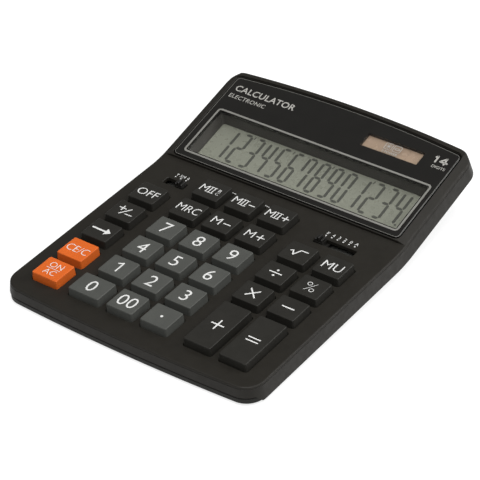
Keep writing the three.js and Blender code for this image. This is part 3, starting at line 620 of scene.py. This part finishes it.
LEGENDS = {
    "key_on_ac": joined([
        moved(lettering("ON", 3.7, -0.012), 0, 2.8),
        strokes(0.3, [(-4.1, 0), (4.1, 0)]),
        moved(lettering("AC", 3.7, -0.012), 0, -2.8),
    ]),
    "key_ce_c": lettering("CE/C", 4.9, -0.014, 0.86),
    "key_backspace": arrow_right(11.2, 1.1, 3.3),
    "key_sign": sign_marks(),
    "key_off": lettering("OFF", 5.2, -0.008),
    "key_point": dots(0.75, (0, 0)),
    "key_00": lettering("00", 7.9, -0.006, 0.98),
    "key_1": strokes(0.85, [(-1.7, 2.3), (0.6, 3.5), (0.6, -3.5)]),
    "key_mrc": lettering("MRC", 5.4, -0.01, 0.88),
    "key_m_minus": memory_one(strokes(0.65, [(1.5, -0.2), (5.6, -0.2)])),
    "key_m_plus": memory_one(moved(plus_mark(2.2, 0.65), 3.5, -0.1)),
    "key_mii_rc": memory_two(joined([
        moved(lettering("R", 2.3, -0.004), 4.4, 1.35),
        moved(lettering("C", 2.3, -0.004), 4.4, -1.35),
    ])),
    "key_mii_minus": memory_two(strokes(0.65, [(3.2, -0.2), (6.5, -0.2)])),
    "key_mii_plus": memory_two(moved(plus_mark(1.9, 0.65), 5.0, -0.1)),
    "key_root": strokes(0.65, [(-4.3, 0.0), (-3.1, 0.8), (-1.6, -2.3), (0.6, 2.3), (4.6, 2.3)]),
    "key_markup": lettering("MU", 5.6, -0.008),
    "key_divide": joined([strokes(0.75, [(-3.4, 0), (3.4, 0)]), dots(0.65, (0, 2.2), (0, -2.2))]),
    "key_percent": lettering("%", 6.8, -0.02, 1.0),
    "key_multiply": strokes(0.75, [(-2.7, -2.7), (2.7, 2.7)], [(-2.7, 2.7), (2.7, -2.7)]),
    "key_minus": strokes(0.8, [(-3.2, 0), (3.2, 0)]),
    "key_plus": plus_mark(3.4, 0.8),
    "key_equals": strokes(0.7, [(-3.3, 1.2), (3.3, 1.2)], [(-3.3, -1.2), (3.3, -1.2)]),
}
for digit in "023456789":
    LEGENDS[f"key_{digit}"] = lettering(digit, 7.9, -0.006)

for name, key in keys.items():
    legend = moved(LEGENDS[name], key.x, key.t)
    printed(f"legend_{name}", legend, key.dish, on_deck, WHITE_INK, name, "legend_ink")

# ---- Slide switches ----
KNOB_HEIGHT = 3.2
KNOB_PLATE = 0.9
KNOB_REACH = 1.6
DETENT = 3.47
SLOT_SIDE = 0.3
SLOT_END = 0.65
LABEL_DOTS = 4.9
LABEL_LINE = 7.0


class Switch:
    """A slide switch's knob on the deck, from its CAD node."""

    def __init__(self, name):
        low, high = slope_box(f"{name}_knob", DECK, DECK_TILT)
        travel = next(j["range_m"] for j in frame["joints"] if j["name"] == f"{name}_slide")
        self.name = name
        self.x = (low.x + high.x) / 2
        self.t = (low.y + high.y) / 2
        self.width = high.x - low.x - 2 * KNOB_REACH
        self.depth = high.y - low.y - 2 * KNOB_REACH
        self.bottom = low.z
        self.low = self.x + travel[0] / MM
        self.high = self.x + travel[1] / MM

    def detents(self):
        count = round((self.high - self.low) / DETENT) + 1
        return [self.low + DETENT * i for i in range(count)]

    def slot(self):
        width = self.high - self.low + self.width + 2 * SLOT_END
        return rounded((self.low + self.high) / 2, self.t, width, self.depth + 2 * SLOT_SIDE, 0.6, 3)


switches = [Switch("rounding_switch"), Switch("decimal_switch")]


def knob(switch):
    """A flanged slider whose finger rises in three ribs across the travel."""
    plate_top = switch.bottom + KNOB_PLATE
    plate = rounded(switch.x, switch.t, switch.width + 2 * KNOB_REACH, switch.depth + 2 * KNOB_REACH, 0.4, 3)
    stem = rounded(switch.x, switch.t, switch.width, switch.depth, 0.5, 3)
    parts = [loft([(plate, switch.bottom), (plate, plate_top), (stem, plate_top), (stem, 0.2)])]
    for offset, rise in ((-1.75, 2.1), (0, KNOB_HEIGHT), (1.75, 2.1)):
        root = rounded(switch.x + offset, switch.t, 1.3, switch.depth - 0.2, 0.3, 3)
        shoulder = rounded(switch.x + offset, switch.t, 1.0, switch.depth - 0.5, 0.3, 3)
        crest = rounded(switch.x + offset, switch.t, 0.6, switch.depth - 1.0, 0.2, 3)
        parts.append(loft([(root, 0), (shoulder, rise - 0.3), (crest, rise)]))
    return joined(parts)


def deck_top(x, t):
    return 0


for switch in switches:
    body = f"{switch.name}_knob"
    slider = new_object(f"slider_{switch.name}", *knob(switch), on_deck)
    dress(slider, KNOB, body, "switch_knob", body)

ROUNDING_MARKS = [
    strokes(0.28, [(0, -0.9), (0, 0.9)], [(-0.5, 0.35), (0, 0.9), (0.5, 0.35)]),
    lettering("5/4", 2.1, -0.004, 0.9),
    strokes(0.28, [(0, -0.9), (0, 0.9)], [(-0.5, -0.35), (0, -0.9), (0.5, -0.35)]),
]
DECIMAL_MARKS = [lettering(mark, 2.1, -0.004) for mark in "F4320A"]


def switch_labels(switch, marks):
    """A dot and a mark behind each detent."""
    parts = []
    for x, mark in zip(switch.detents(), marks):
        parts.append(moved(mark, x, switch.t + LABEL_LINE))
        parts.append(dots(0.42, (x, switch.t + LABEL_DOTS)))
    return joined(parts)


for switch, marks in zip(switches, (ROUNDING_MARKS, DECIMAL_MARKS)):
    labels = switch_labels(switch, marks)
    printed(f"labels_{switch.name}", labels, deck_top, on_deck, WHITE_INK, "case", "legend_ink")


dashes = strokes(0.3, [(-26.8, 124.1), (-22.0, 123.7)], [(-6.2, 124.3), (-0.8, 123.6)])
printed("deck_dashes", dashes, deck_top, folded, WHITE_INK, "case", "legend_ink")


# ---- Upper housing ----
def rim_levels(fillet):
    levels = [(-WALL_FLARE, -WALL_HEIGHT)]
    for h, cut in ((-1.65, 0), (-1.5, RIM_GROOVE), (-1.25, RIM_GROOVE), (-1.1, 0)):
        levels.append((WALL_FLARE * h / WALL_HEIGHT + cut, h))
    for i in range(5):
        angle = math.radians(90 * i / 4)
        lean = WALL_FLARE * fillet / WALL_HEIGHT * (1 - math.sin(angle))
        levels.append((fillet * (1 - math.cos(angle)) - lean, -fillet * (1 - math.sin(angle))))
    return levels


def display_platform():
    """The raised frame: a ridge with sloping sides and soft edges, and a higher lip behind the panel."""
    foot = HALF_RIM - PLATFORM_INSET
    top = foot - PLATFORM_SLOPE
    root = -HOUSING_WALL / 2
    section = [(-foot, root), (foot, root), (foot, 0)]
    section += [(top, PLATFORM_RISE), (-top, PLATFORM_RISE), (-foot, 0)]
    start = DECK_LENGTH + PLATFORM_START
    points, faces = loft([(section, start), (section, FLAT_LENGTH + 5)])
    ridge = new_object("ridge", [(x, t, h) for x, h, t in points], [face[::-1] for face in faces], on_display)
    soften(ridge, 0.5, 4)
    panel_back = DECK_LENGTH + DISPLAY_LENGTH - BACK_LIP
    lip_start = panel_back - PANEL_BOW - PANEL_CORNER
    lip_half = HALF_RIM - BACK_LIP_INSET
    lip = new_object("lip", *block((-lip_half, lip_start, root),
                                   (lip_half, FLAT_LENGTH + 5, PLATFORM_RISE + BACK_LIP_RISE)), on_display)
    combine(ridge, lip, "UNION")
    bound_levels = [(PLATFORM_INSET / 2, root), (PLATFORM_INSET / 2, 1.6), (PLATFORM_INSET / 2 + 0.25, 2.1),
                    (PLATFORM_INSET / 2 + 0.8, 2.4), (PLATFORM_INSET / 2 + 0.8, 9)]
    points, faces = loft([(case_outline(inset), h) for inset, h in bound_levels])
    combine(ridge, new_object("bound", points, faces, on_display), "INTERSECT")
    return ridge


def front_lip_section(drop, run):
    """The front strip below a drop, as t and h: its back edge slopes from run down to the wall's foot."""
    end = run + WALL_HEIGHT - drop
    below = -WALL_HEIGHT - 3
    return [(-FAR, -drop), (-FAR, below), (end, below), (end, -WALL_HEIGHT), (run, -drop)]


def panel_outline(inset):
    half = (window_high.x - window_low.x) / 2 - inset
    front = DECK_LENGTH + PANEL_START + inset
    back = DECK_LENGTH + DISPLAY_LENGTH - BACK_LIP - inset
    radius = max(PANEL_CORNER - inset, 0.4)
    front_edge = bowed_edge(half, front, 0, radius, -1)
    return front_edge + bowed_edge(half, back, PANEL_BOW, radius, 1)[::-1]


def opening_cutter(outline_at, low, high):
    """A cutter with a small chamfer where it leaves the surface at height 0."""
    chamfered = outline_at(OPENING_CHAMFER)
    straight = outline_at(0)
    return loft([(straight, low), (straight, -OPENING_CHAMFER), (chamfered, 0.0), (chamfered, high)])


def key_cutter(key):
    return opening_cutter(lambda grow: key.outline(KEY_CLEARANCE + grow), -CUT_DEPTH, 1)


def slot_cutter(switch):
    slot = switch.slot()
    x = sum(p[0] for p in slot) / len(slot)
    half = max(p[0] for p in slot) - x
    depth = max(p[1] for p in slot) - switch.t

    def outline_at(grow):
        return rounded(x, switch.t, 2 * (half + grow), 2 * (depth + grow), 0.6, 3)

    return opening_cutter(outline_at, -CUT_DEPTH, 1)


lcd_low, lcd_high = slope_box("lcd_glass", DISPLAY, DISPLAY_TILT)
bezel_low, bezel_high = slope_box("lcd_bezel", DISPLAY, DISPLAY_TILT)
solar_low, solar_high = slope_box("solar_cell", DISPLAY, DISPLAY_TILT)


def grown(low, high, grow, bottom, top):
    return (low.x - grow, low.y - grow, bottom), (high.x + grow, high.y + grow, top)


def upper_housing():
    housing = folded_case("housing_upper", rim_levels(RIM_FILLET))
    combine(housing, display_platform(), "UNION")
    inside = folded_case("inside", [(HOUSING_WALL, -DEEP), (HOUSING_WALL, -HOUSING_WALL)])
    combine(housing, inside, "DIFFERENCE")
    lip_section = front_lip_section(LIP_HEIGHT - PARTING_SHADOW, LIP_RUN)
    lip = new_object("lip_cut", *along_x(lip_section, -FAR, FAR), on_deck)
    combine(housing, lip, "DIFFERENCE")
    pocket = loft([(panel_outline(-PANEL_GROOVE), -SEAT), (panel_outline(-PANEL_GROOVE), PLATFORM_RISE - 0.3),
                   (panel_outline(-PANEL_GROOVE - 0.3), PLATFORM_RISE + 0.05),
                   (panel_outline(-PANEL_GROOVE - 0.3), 9)])
    combine(housing, new_object("pocket", *pocket, on_display), "DIFFERENCE")
    windows = joined([
        block(*grown(bezel_low, bezel_high, 0.3, -CUT_DEPTH, 1)),
        block(*grown(solar_low, solar_high, 0.3, -CUT_DEPTH, 1)),
    ])
    combine(housing, new_object("windows", *windows, on_display), "DIFFERENCE")
    openings = joined([key_cutter(key) for key in keys.values()] + [slot_cutter(s) for s in switches])
    combine(housing, new_object("openings", *openings, on_deck), "DIFFERENCE")
    dress(housing, CASE, "case", "case", "upper_housing")


upper_housing()


# ---- Lower housing ----
def underside_cuts():
    """Cutters from below: the screws' and feet's seats and the battery door's recess."""
    parts = []
    for place in CORNERS:
        low, high = [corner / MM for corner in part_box(f"case_screw_{place}")]
        radius = (high.x - low.x) / 2 + 0.25
        x, y = (low.x + high.x) / 2, (low.y + high.y) / 2
        seat = low.z + 1.25
        parts.append(loft([(circle(x, y, radius + 0.3, 32), -1), (circle(x, y, radius + 0.3, 32), low.z),
                           (circle(x, y, radius, 32), low.z + 0.3), (circle(x, y, radius, 32), seat)]))
        low, high = [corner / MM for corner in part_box(f"foot_{place}")]
        radius = (high.x - low.x) / 2 + 0.3
        x, y = (low.x + high.x) / 2, (low.y + high.y) / 2
        parts.append(loft([(circle(x, y, radius, 48), -1), (circle(x, y, radius, 48), high.z + 0.3)]))
    low, high = [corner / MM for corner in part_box("battery_door")]
    travel = next(j["range_m"][1] for j in frame["joints"] if j["name"] == "battery_door_slide") / MM
    parts.append(block((low.x - 0.3, low.y - 0.3, -1), (high.x + 0.3, high.y + travel + 0.3, high.z + 0.3)))
    return parts


def lower_housing():
    top = -WALL_HEIGHT - PARTING_GAP
    rim = -LIP_HEIGHT - PARTING_GAP
    tongue_inset = HOUSING_WALL + 0.3
    inner = tongue_inset + 1.4
    taper = [(LOWER_INSET + LOWER_DEPTH, top - LOWER_DEPTH), (LOWER_INSET, top)]
    housing = folded_case("housing_lower", taper)
    combine(housing, folded_case("tongue", [(tongue_inset, top - 1), (tongue_inset, rim)]), "UNION")
    lip = folded_case("lip", [(LIP_INSET, -WALL_HEIGHT), (LIP_INSET, rim - 0.35), (LIP_INSET + 0.35, rim)])
    front = new_object("front", *along_x(front_lip_section(-rim, LIP_RUN + LIP_TUCK), -FAR, FAR), on_deck)
    combine(lip, front, "INTERSECT")
    combine(housing, lip, "UNION")
    above = new_object("above", *block((-FAR, -FAR, STAND_OFF), (FAR, FAR, FAR)))
    combine(housing, above, "INTERSECT")
    for cut in underside_cuts():
        combine(housing, new_object("underside_cut", *cut), "DIFFERENCE")
    cavity = folded_case("cavity", [(inner + LOWER_DEPTH, top - LOWER_DEPTH), (inner, top), (inner, 0)])
    floor_top = STAND_OFF + FLOOR_THICKNESS
    above_floor = new_object("above_floor", *block((-FAR, -FAR, floor_top), (FAR, FAR, FAR)))
    combine(cavity, above_floor, "INTERSECT")
    combine(housing, cavity, "DIFFERENCE")
    return housing


lower = lower_housing()
dress(lower, LOWER, "case", "case", "lower_housing")

# ---- Display ----
window_x = (lcd_low.x + lcd_high.x) / 2
window_t = (lcd_low.y + lcd_high.y) / 2
WINDOW_WIDTH = lcd_high.x - lcd_low.x - 1
WINDOW_DEPTH = lcd_high.y - lcd_low.y - 1
WINDOW_CORNER = 1.1
SILVER_LINE = 1.1
DARK_BAND = 0.55
solar_x = (solar_low.x + solar_high.x) / 2
solar_t = (solar_low.y + solar_high.y) / 2
SOLAR_WIDTH = solar_high.x - solar_low.x
SOLAR_DEPTH = solar_high.y - solar_low.y


def window_outline(grow):
    radius = max(WINDOW_CORNER + grow, 0.3)
    return rounded(window_x, window_t, WINDOW_WIDTH + 2 * grow, WINDOW_DEPTH + 2 * grow, radius, 8)


def solar_outline(grow):
    return rounded(solar_x, solar_t, SOLAR_WIDTH + 2 * grow, SOLAR_DEPTH + 2 * grow, 0.3, 3)


def display_panel():
    edge = 0.35
    levels = [(0, PLATFORM_RISE - PANEL_THICKNESS)]
    for i in range(5):
        angle = math.radians(90 * i / 4)
        levels.append((edge * (1 - math.cos(angle)), PLATFORM_RISE - edge * (1 - math.sin(angle))))
    panel = new_object("panel_black", *loft([(panel_outline(inset), h) for inset, h in levels]), on_display)
    holes = joined([
        loft([(window_outline(-DARK_BAND), -3), (window_outline(-DARK_BAND), 5)]),
        loft([(solar_outline(-0.2), -3), (solar_outline(-0.2), 5)]),
    ])
    combine(panel, new_object("holes", *holes, on_display), "DIFFERENCE")
    dress(panel, PANEL, "case", "panel", "display_window")


def panel_top(x, t):
    return PLATFORM_RISE


def bezel():
    """The recess round the liquid crystal: its side and back walls lean in, and its front wall is upright."""
    x = (bezel_low.x + bezel_high.x) / 2
    t = (bezel_low.y + bezel_high.y) / 2
    outer = rounded(x, t, bezel_high.x - bezel_low.x, bezel_high.y - bezel_low.y, 0.6, 8)
    sections = []
    for h, lean in ((bezel_low.z, 1.6), (bezel_high.z - 0.3, 0.1), (bezel_high.z, -0.2)):
        width = WINDOW_WIDTH - 2 * lean
        depth = WINDOW_DEPTH - lean
        sections.append((outer, rounded(window_x, window_t - lean / 2, width, depth, 1.6, 8), h))
    piece = new_object("bezel_ring", *ringed(sections), on_display)
    dress(piece, BEZEL, "case", "bezel", "lcd_bezel")


bezel()
display_panel()
pane_bottom = PLATFORM_RISE - 0.9
pane_top = PLATFORM_RISE - 0.03
pane_outlines = {"pane_lcd": window_outline(-DARK_BAND - 0.02), "pane_solar": solar_outline(-0.22)}
for name, outline in pane_outlines.items():
    pane = new_object(name, *loft([(outline, pane_bottom), (outline, pane_top)]), on_display)
    dress(pane, PANE, "case", "panel")

# A lighter ring printed just inside the panel's outline: painted highlight in place of light caught by the panel's
# polished edge.
edge_highlight_ring = ringed([(panel_outline(0.3), panel_outline(0.55), h) for h in (-1, 1)])
printed("panel_edge", edge_highlight_ring, panel_top, on_display, PANEL_EDGE_HIGHLIGHT, "case", "silver_ink")

frame_line = ringed([(window_outline(SILVER_LINE), window_outline(0), h) for h in (-1, 1)])
printed("window_line", frame_line, panel_top, on_display, SILVER, "case", "silver_ink")


def fourteen():
    one = [(-3.9, 1.2), (-2.9, 2.0), (-2.9, -2.1)]
    four = [(2.2, -2.1), (2.2, 2.1), (-0.6, -0.9), (3.5, -0.9)]
    return strokes(1.0, one, four)


title = joined([
    moved(lettering("CALCULATOR", 4.2, 0.012, 1.0, 1.05), -48.0, DECK_LENGTH + 60.2),
    moved(lettering("ELECTRONIC", 2.7, 0.0, 1.0, 1.05), -56.0, DECK_LENGTH + 54.2),
])
digit_count = joined([
    moved(fourteen(), 63.2, DECK_LENGTH + 60.4),
    moved(lettering("DIGITS", 1.8, 0.004, 1.05), 64.0, DECK_LENGTH + 55.4),
])
printed("panel_title", title, panel_top, on_display, GREY_INK, "case", "legend_ink")
printed("panel_digits", digit_count, panel_top, on_display, GREY_INK, "case", "legend_ink")

# The liquid crystal's figures: upright seven-segment digits with ticks between the thousands.
DIGIT_PITCH = 8.45
DIGIT_WIDTH = 4.3
DIGIT_HEIGHT = 20.6
SEGMENT = 1.6
SEGMENT_GAP = 0.2
LAST_DIGIT = 55.7
DIGIT_MIDDLE = DECK_LENGTH + 28.9
SEGMENTS = {
    "0": "abcdef",
    "1": "bc",
    "2": "abged",
    "3": "abgcd",
    "4": "fgbc",
    "5": "afgcd",
    "6": "afgedc",
    "7": "fabc",
    "8": "abcdefg",
    "9": "abcdfg",
}
FIGURES = "12345678901234"
TICKS_AFTER = (1, 4, 7, 10)


def segment(a, b):
    """A bar with pointed ends from a to b."""
    direction = (Vector(b) - Vector(a)).normalized()
    side = Vector((-direction.y, direction.x)) * SEGMENT / 2
    start = Vector(a) + direction * SEGMENT_GAP
    end = Vector(b) - direction * SEGMENT_GAP
    shoulder = direction * SEGMENT / 2
    corners = [start, start + shoulder - side, end - shoulder - side]
    corners += [end, end - shoulder + side, start + shoulder + side]
    outline = [tuple(corner) for corner in corners]
    return loft([(outline, -1), (outline, 1)])


def figure(x, lit):
    left, right = x - DIGIT_WIDTH / 2, x + DIGIT_WIDTH / 2
    low, high = DIGIT_MIDDLE - DIGIT_HEIGHT / 2, DIGIT_MIDDLE + DIGIT_HEIGHT / 2
    middle = DIGIT_MIDDLE
    bars = {
        "a": ((left, high), (right, high)),
        "b": ((right, high), (right, middle)),
        "c": ((right, middle), (right, low)),
        "d": ((left, low), (right, low)),
        "e": ((left, middle), (left, low)),
        "f": ((left, high), (left, middle)),
        "g": ((left, middle), (right, middle)),
    }
    return joined([segment(*bars[name]) for name in lit])


def lcd_top(x, t):
    return lcd_high.z


def lcd_figures():
    """The row of digits, with its ticks and the point after the last one."""
    parts = []
    for i, digit in enumerate(FIGURES):
        x = LAST_DIGIT + (i - len(FIGURES) + 1) * DIGIT_PITCH
        parts.append(figure(x, SEGMENTS[digit]))
        if i in TICKS_AFTER:
            tick_x = x + DIGIT_WIDTH / 2 + 1.6
            high = DIGIT_MIDDLE + DIGIT_HEIGHT / 2
            parts.append(strokes(0.6, [(tick_x, high - 1.2), (tick_x + 0.3, high + 0.4)]))
    parts.append(dots(0.65, (LAST_DIGIT + DIGIT_WIDTH / 2 + 1.7, DIGIT_MIDDLE - DIGIT_HEIGHT / 2)))
    return joined(parts)


printed("lcd_figures", lcd_figures(), lcd_top, on_display, LCD_INK, "case", "lcd_ink")


def solar_top(x, t):
    return solar_high.z


def solar_grid():
    """The lines between the cell's four strips."""
    lines = []
    for share in (0.25, 0.5, 0.75):
        x = solar_low.x + SOLAR_WIDTH * share
        lines.append(block((x - 0.09, solar_low.y + 0.3, -1), (x + 0.09, solar_high.y - 0.3, 1)))
    return joined(lines)


printed("solar_grid", solar_grid(), solar_top, on_display, SOLAR_LINE, "case", "lcd_ink")


def solar_marks():
    """A sun and a battery in rounded squares, printed on the solar window."""
    x, t = solar_x, solar_t
    parts = []
    for middle in (x - 2.6, x + 2.6):
        outer = rounded(middle, t + 0.6, 4.6, 4.6, 0.9, 4)
        inner = rounded(middle, t + 0.6, 4.0, 4.0, 0.6, 4)
        parts.append(ringed([(outer, inner, -1), (outer, inner, 1)]))
    sun_x = x - 2.6
    parts.append(dots(0.7, (sun_x, t + 0.6)))
    for i in range(8):
        turn = math.pi * i / 4
        a = (sun_x + 1.0 * math.cos(turn), t + 0.6 + 1.0 * math.sin(turn))
        b = (sun_x + 1.5 * math.cos(turn), t + 0.6 + 1.5 * math.sin(turn))
        parts.append(strokes(0.26, [a, b]))
    cell = rounded(x + 2.5, t + 0.6, 2.4, 1.4, 0.2, 3)
    cell_inner = rounded(x + 2.5, t + 0.6, 1.8, 0.8, 0.15, 3)
    parts.append(ringed([(cell, cell_inner, -1), (cell, cell_inner, 1)]))
    parts.append(strokes(0.3, [(x + 3.95, t + 0.4), (x + 3.95, t + 0.8)]))
    parts.append(moved(lettering("2 POWER", 1.5, 0.006, 1.05), x, t - 3.2))
    return joined(parts)


def pane_surface(x, t):
    return pane_top


printed("solar_marks", solar_marks(), pane_surface, on_display, GREY_INK, "case", "legend_ink")


# ---- Underside ----
def lathe(name, profile, sides=40):
    """A turned solid about Z from radius and height pairs, from the bottom to the top."""
    points, faces = loft([(circle(0, 0, max(radius, 0.02), sides), h) for radius, h in profile])
    return new_object(name, points, faces)


def screw(place):
    low, high = [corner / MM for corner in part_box(f"case_screw_{place}")]
    radius = (high.x - low.x) / 2
    profile = [(radius * 0.55, 0.0), (radius * 0.92, 0.08), (radius, 0.35), (radius, 1.0), (0.9, 1.0)]
    height = 1.3
    while height < high.z - low.z - 1.2:
        profile += [(0.72, height), (0.9, height + 0.3)]
        height += 0.6
    profile += [(0.7, high.z - low.z - 0.8), (0.05, high.z - low.z)]
    piece = lathe(f"screw_{place}", profile)
    for name, x, y in (("cross", 1.15, 0.24), ("bar", 0.24, 1.15)):
        recess = block((-x, -y, -1), (x, y, 0.75))
        combine(piece, new_object(name, *recess), "DIFFERENCE")
    piece.data.transform(Matrix.Translation(((low.x + high.x) / 2, (low.y + high.y) / 2, low.z)))
    dress(piece, STEEL, "case", "steel", f"case_screw_{place}")


def foot(place):
    low, high = [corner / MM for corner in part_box(f"foot_{place}")]
    radius = (high.x - low.x) / 2
    profile = [(radius * 0.6, 0.18), (radius * 0.72, 0.0), (radius * 0.9, 0.0), (radius * 0.97, 0.15)]
    profile += [(radius, 0.45), (radius, high.z - low.z)]
    piece = lathe(f"pad_{place}", profile, 56)
    piece.data.transform(Matrix.Translation(((low.x + high.x) / 2, (low.y + high.y) / 2, low.z)))
    dress(piece, RUBBER, "case", "rubber", f"foot_{place}")


for place in CORNERS:
    screw(place)
    foot(place)


def battery_door():
    """A flat lid with grip ribs, and an arrow that shows which way it slides."""
    low, high = [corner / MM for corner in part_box("battery_door")]
    door = new_object("door", *block(low, high))
    soften(door, 0.2, 2)
    x, y = (low.x + high.x) / 2, (low.y + high.y) / 2
    grooves = []
    for i in range(5):
        line = y - 8.5 + 1.7 * i
        grooves.append(block((x - 7, line - 0.4, -1), (x + 7, line + 0.4, low.z + 0.35)))
    shaft = capsule((x, y + 1.5), (x, y + 6.2), 1.1)
    head = [(x - 1.9, y + 6.0), (x + 1.9, y + 6.0), (x, y + 8.6)]
    combine(door, new_object("grooves", *joined(grooves)), "DIFFERENCE")
    combine(door, new_object("shaft", *loft([(shaft, -1), (shaft, low.z + 0.3)])), "DIFFERENCE")
    combine(door, new_object("head", *loft([(head, -1), (head, low.z + 0.3)])), "DIFFERENCE")
    dress(door, LOWER, "battery_door", "case", "battery_door")


battery_door()

# ---- CAD pieces that stay ----
CARRIED = {
    "lcd_glass": LCD,
    "solar_cell": SOLAR,
    "main_board": BOARD,
    "key_membrane": SILICONE,
    "processor_chip": EPOXY,
    "lcd_ribbon": RIBBON,
    "solar_lead_positive": RED_LEAD,
    "solar_lead_negative": BLACK_LEAD,
    "button_cell": STEEL,
    "battery_contact_negative": STEEL,
    "battery_contact_positive": STEEL,
    "battery_lead_negative": BLACK_LEAD,
    "battery_lead_positive": RED_LEAD,
}
for node, material in CARRIED.items():
    obj = frame["nodes"][node]
    obj.data.materials.clear()
    obj.data.materials.append(material)

# ---- Stage ----
AZIMUTH = math.radians(37.29)
ELEVATION = math.radians(34.99)
ROLL = math.radians(-1.66)
TARGET = Vector((6.42, -13.52, 18.95)) * MM
DISTANCE = 1.0621
LENS = 159.5
FLOOR_SIZE = 6
FLOOR_GLOW = 0.75
FILL = 0.22


def add_floor():
    """A pale floor with a glow of its own, so that it stays near white round a dark object."""
    points, faces = block((-FLOOR_SIZE, -FLOOR_SIZE, -0.01), (FLOOR_SIZE, FLOOR_SIZE, 0))
    floor = new_object("floor", points, faces)
    material = bpy.data.materials.new("floor_paper")
    material.use_nodes = True
    shader = material.node_tree.nodes["Principled BSDF"]
    shader.inputs["Base Color"].default_value = (0.3, 0.3, 0.3, 1)
    shader.inputs["Roughness"].default_value = 0.9
    shader.inputs["Specular IOR Level"].default_value = 0.1
    shader.inputs["Emission Color"].default_value = (1, 1, 1, 1)
    shader.inputs["Emission Strength"].default_value = FLOOR_GLOW
    floor.data.materials.append(material)


def add_area(name, place, size, power):
    """A square light in metres and watts that faces the object."""
    light = bpy.data.lights.new(name, "AREA")
    light.shape = "SQUARE"
    light.size = size
    light.energy = power
    obj = bpy.data.objects.new(name, light)
    obj.location = place
    obj.rotation_euler = (-Vector(place)).to_track_quat("-Z", "Y").to_euler()
    bpy.context.scene.collection.objects.link(obj)


def add_world():
    """White where the camera sees it, and FILL as strong where it lights the object."""
    world = bpy.data.worlds.new("studio")
    world.use_nodes = True
    tree = world.node_tree
    background = tree.nodes["Background"]
    background.inputs["Color"].default_value = (1, 1, 1, 1)
    path = tree.nodes.new("ShaderNodeLightPath")
    strength = tree.nodes.new("ShaderNodeMapRange")
    strength.inputs["To Min"].default_value = FILL
    strength.inputs["To Max"].default_value = 1
    tree.links.new(path.outputs["Is Camera Ray"], strength.inputs["Value"])
    tree.links.new(strength.outputs["Result"], background.inputs["Strength"])
    bpy.context.scene.world = world


def add_camera():
    level_reach = math.cos(ELEVATION)
    back = Vector((math.sin(AZIMUTH) * level_reach, -math.cos(AZIMUTH) * level_reach, math.sin(ELEVATION)))
    level = Vector((math.cos(AZIMUTH), math.sin(AZIMUTH), 0))
    rise = back.cross(level)
    right = level * math.cos(ROLL) + rise * math.sin(ROLL)
    up = back.cross(right)
    camera = bpy.data.cameras.new("camera")
    camera.lens = LENS
    camera.sensor_width = 36
    camera.clip_start = 0.01
    obj = bpy.data.objects.new("camera", camera)
    turn = Matrix((right, up, back)).transposed().to_4x4()
    obj.matrix_world = Matrix.Translation(TARGET + back * DISTANCE) @ turn
    bpy.context.scene.collection.objects.link(obj)
    bpy.context.scene.camera = obj


add_floor()
add_area("overhead", (0.45, -0.5, 1.8), size=1.9, power=54)
add_area("edge", (1.22, 0.86, 1.0), size=0.9, power=20)
add_world()
add_camera()
bpy.context.scene.view_settings.view_transform = "Standard"
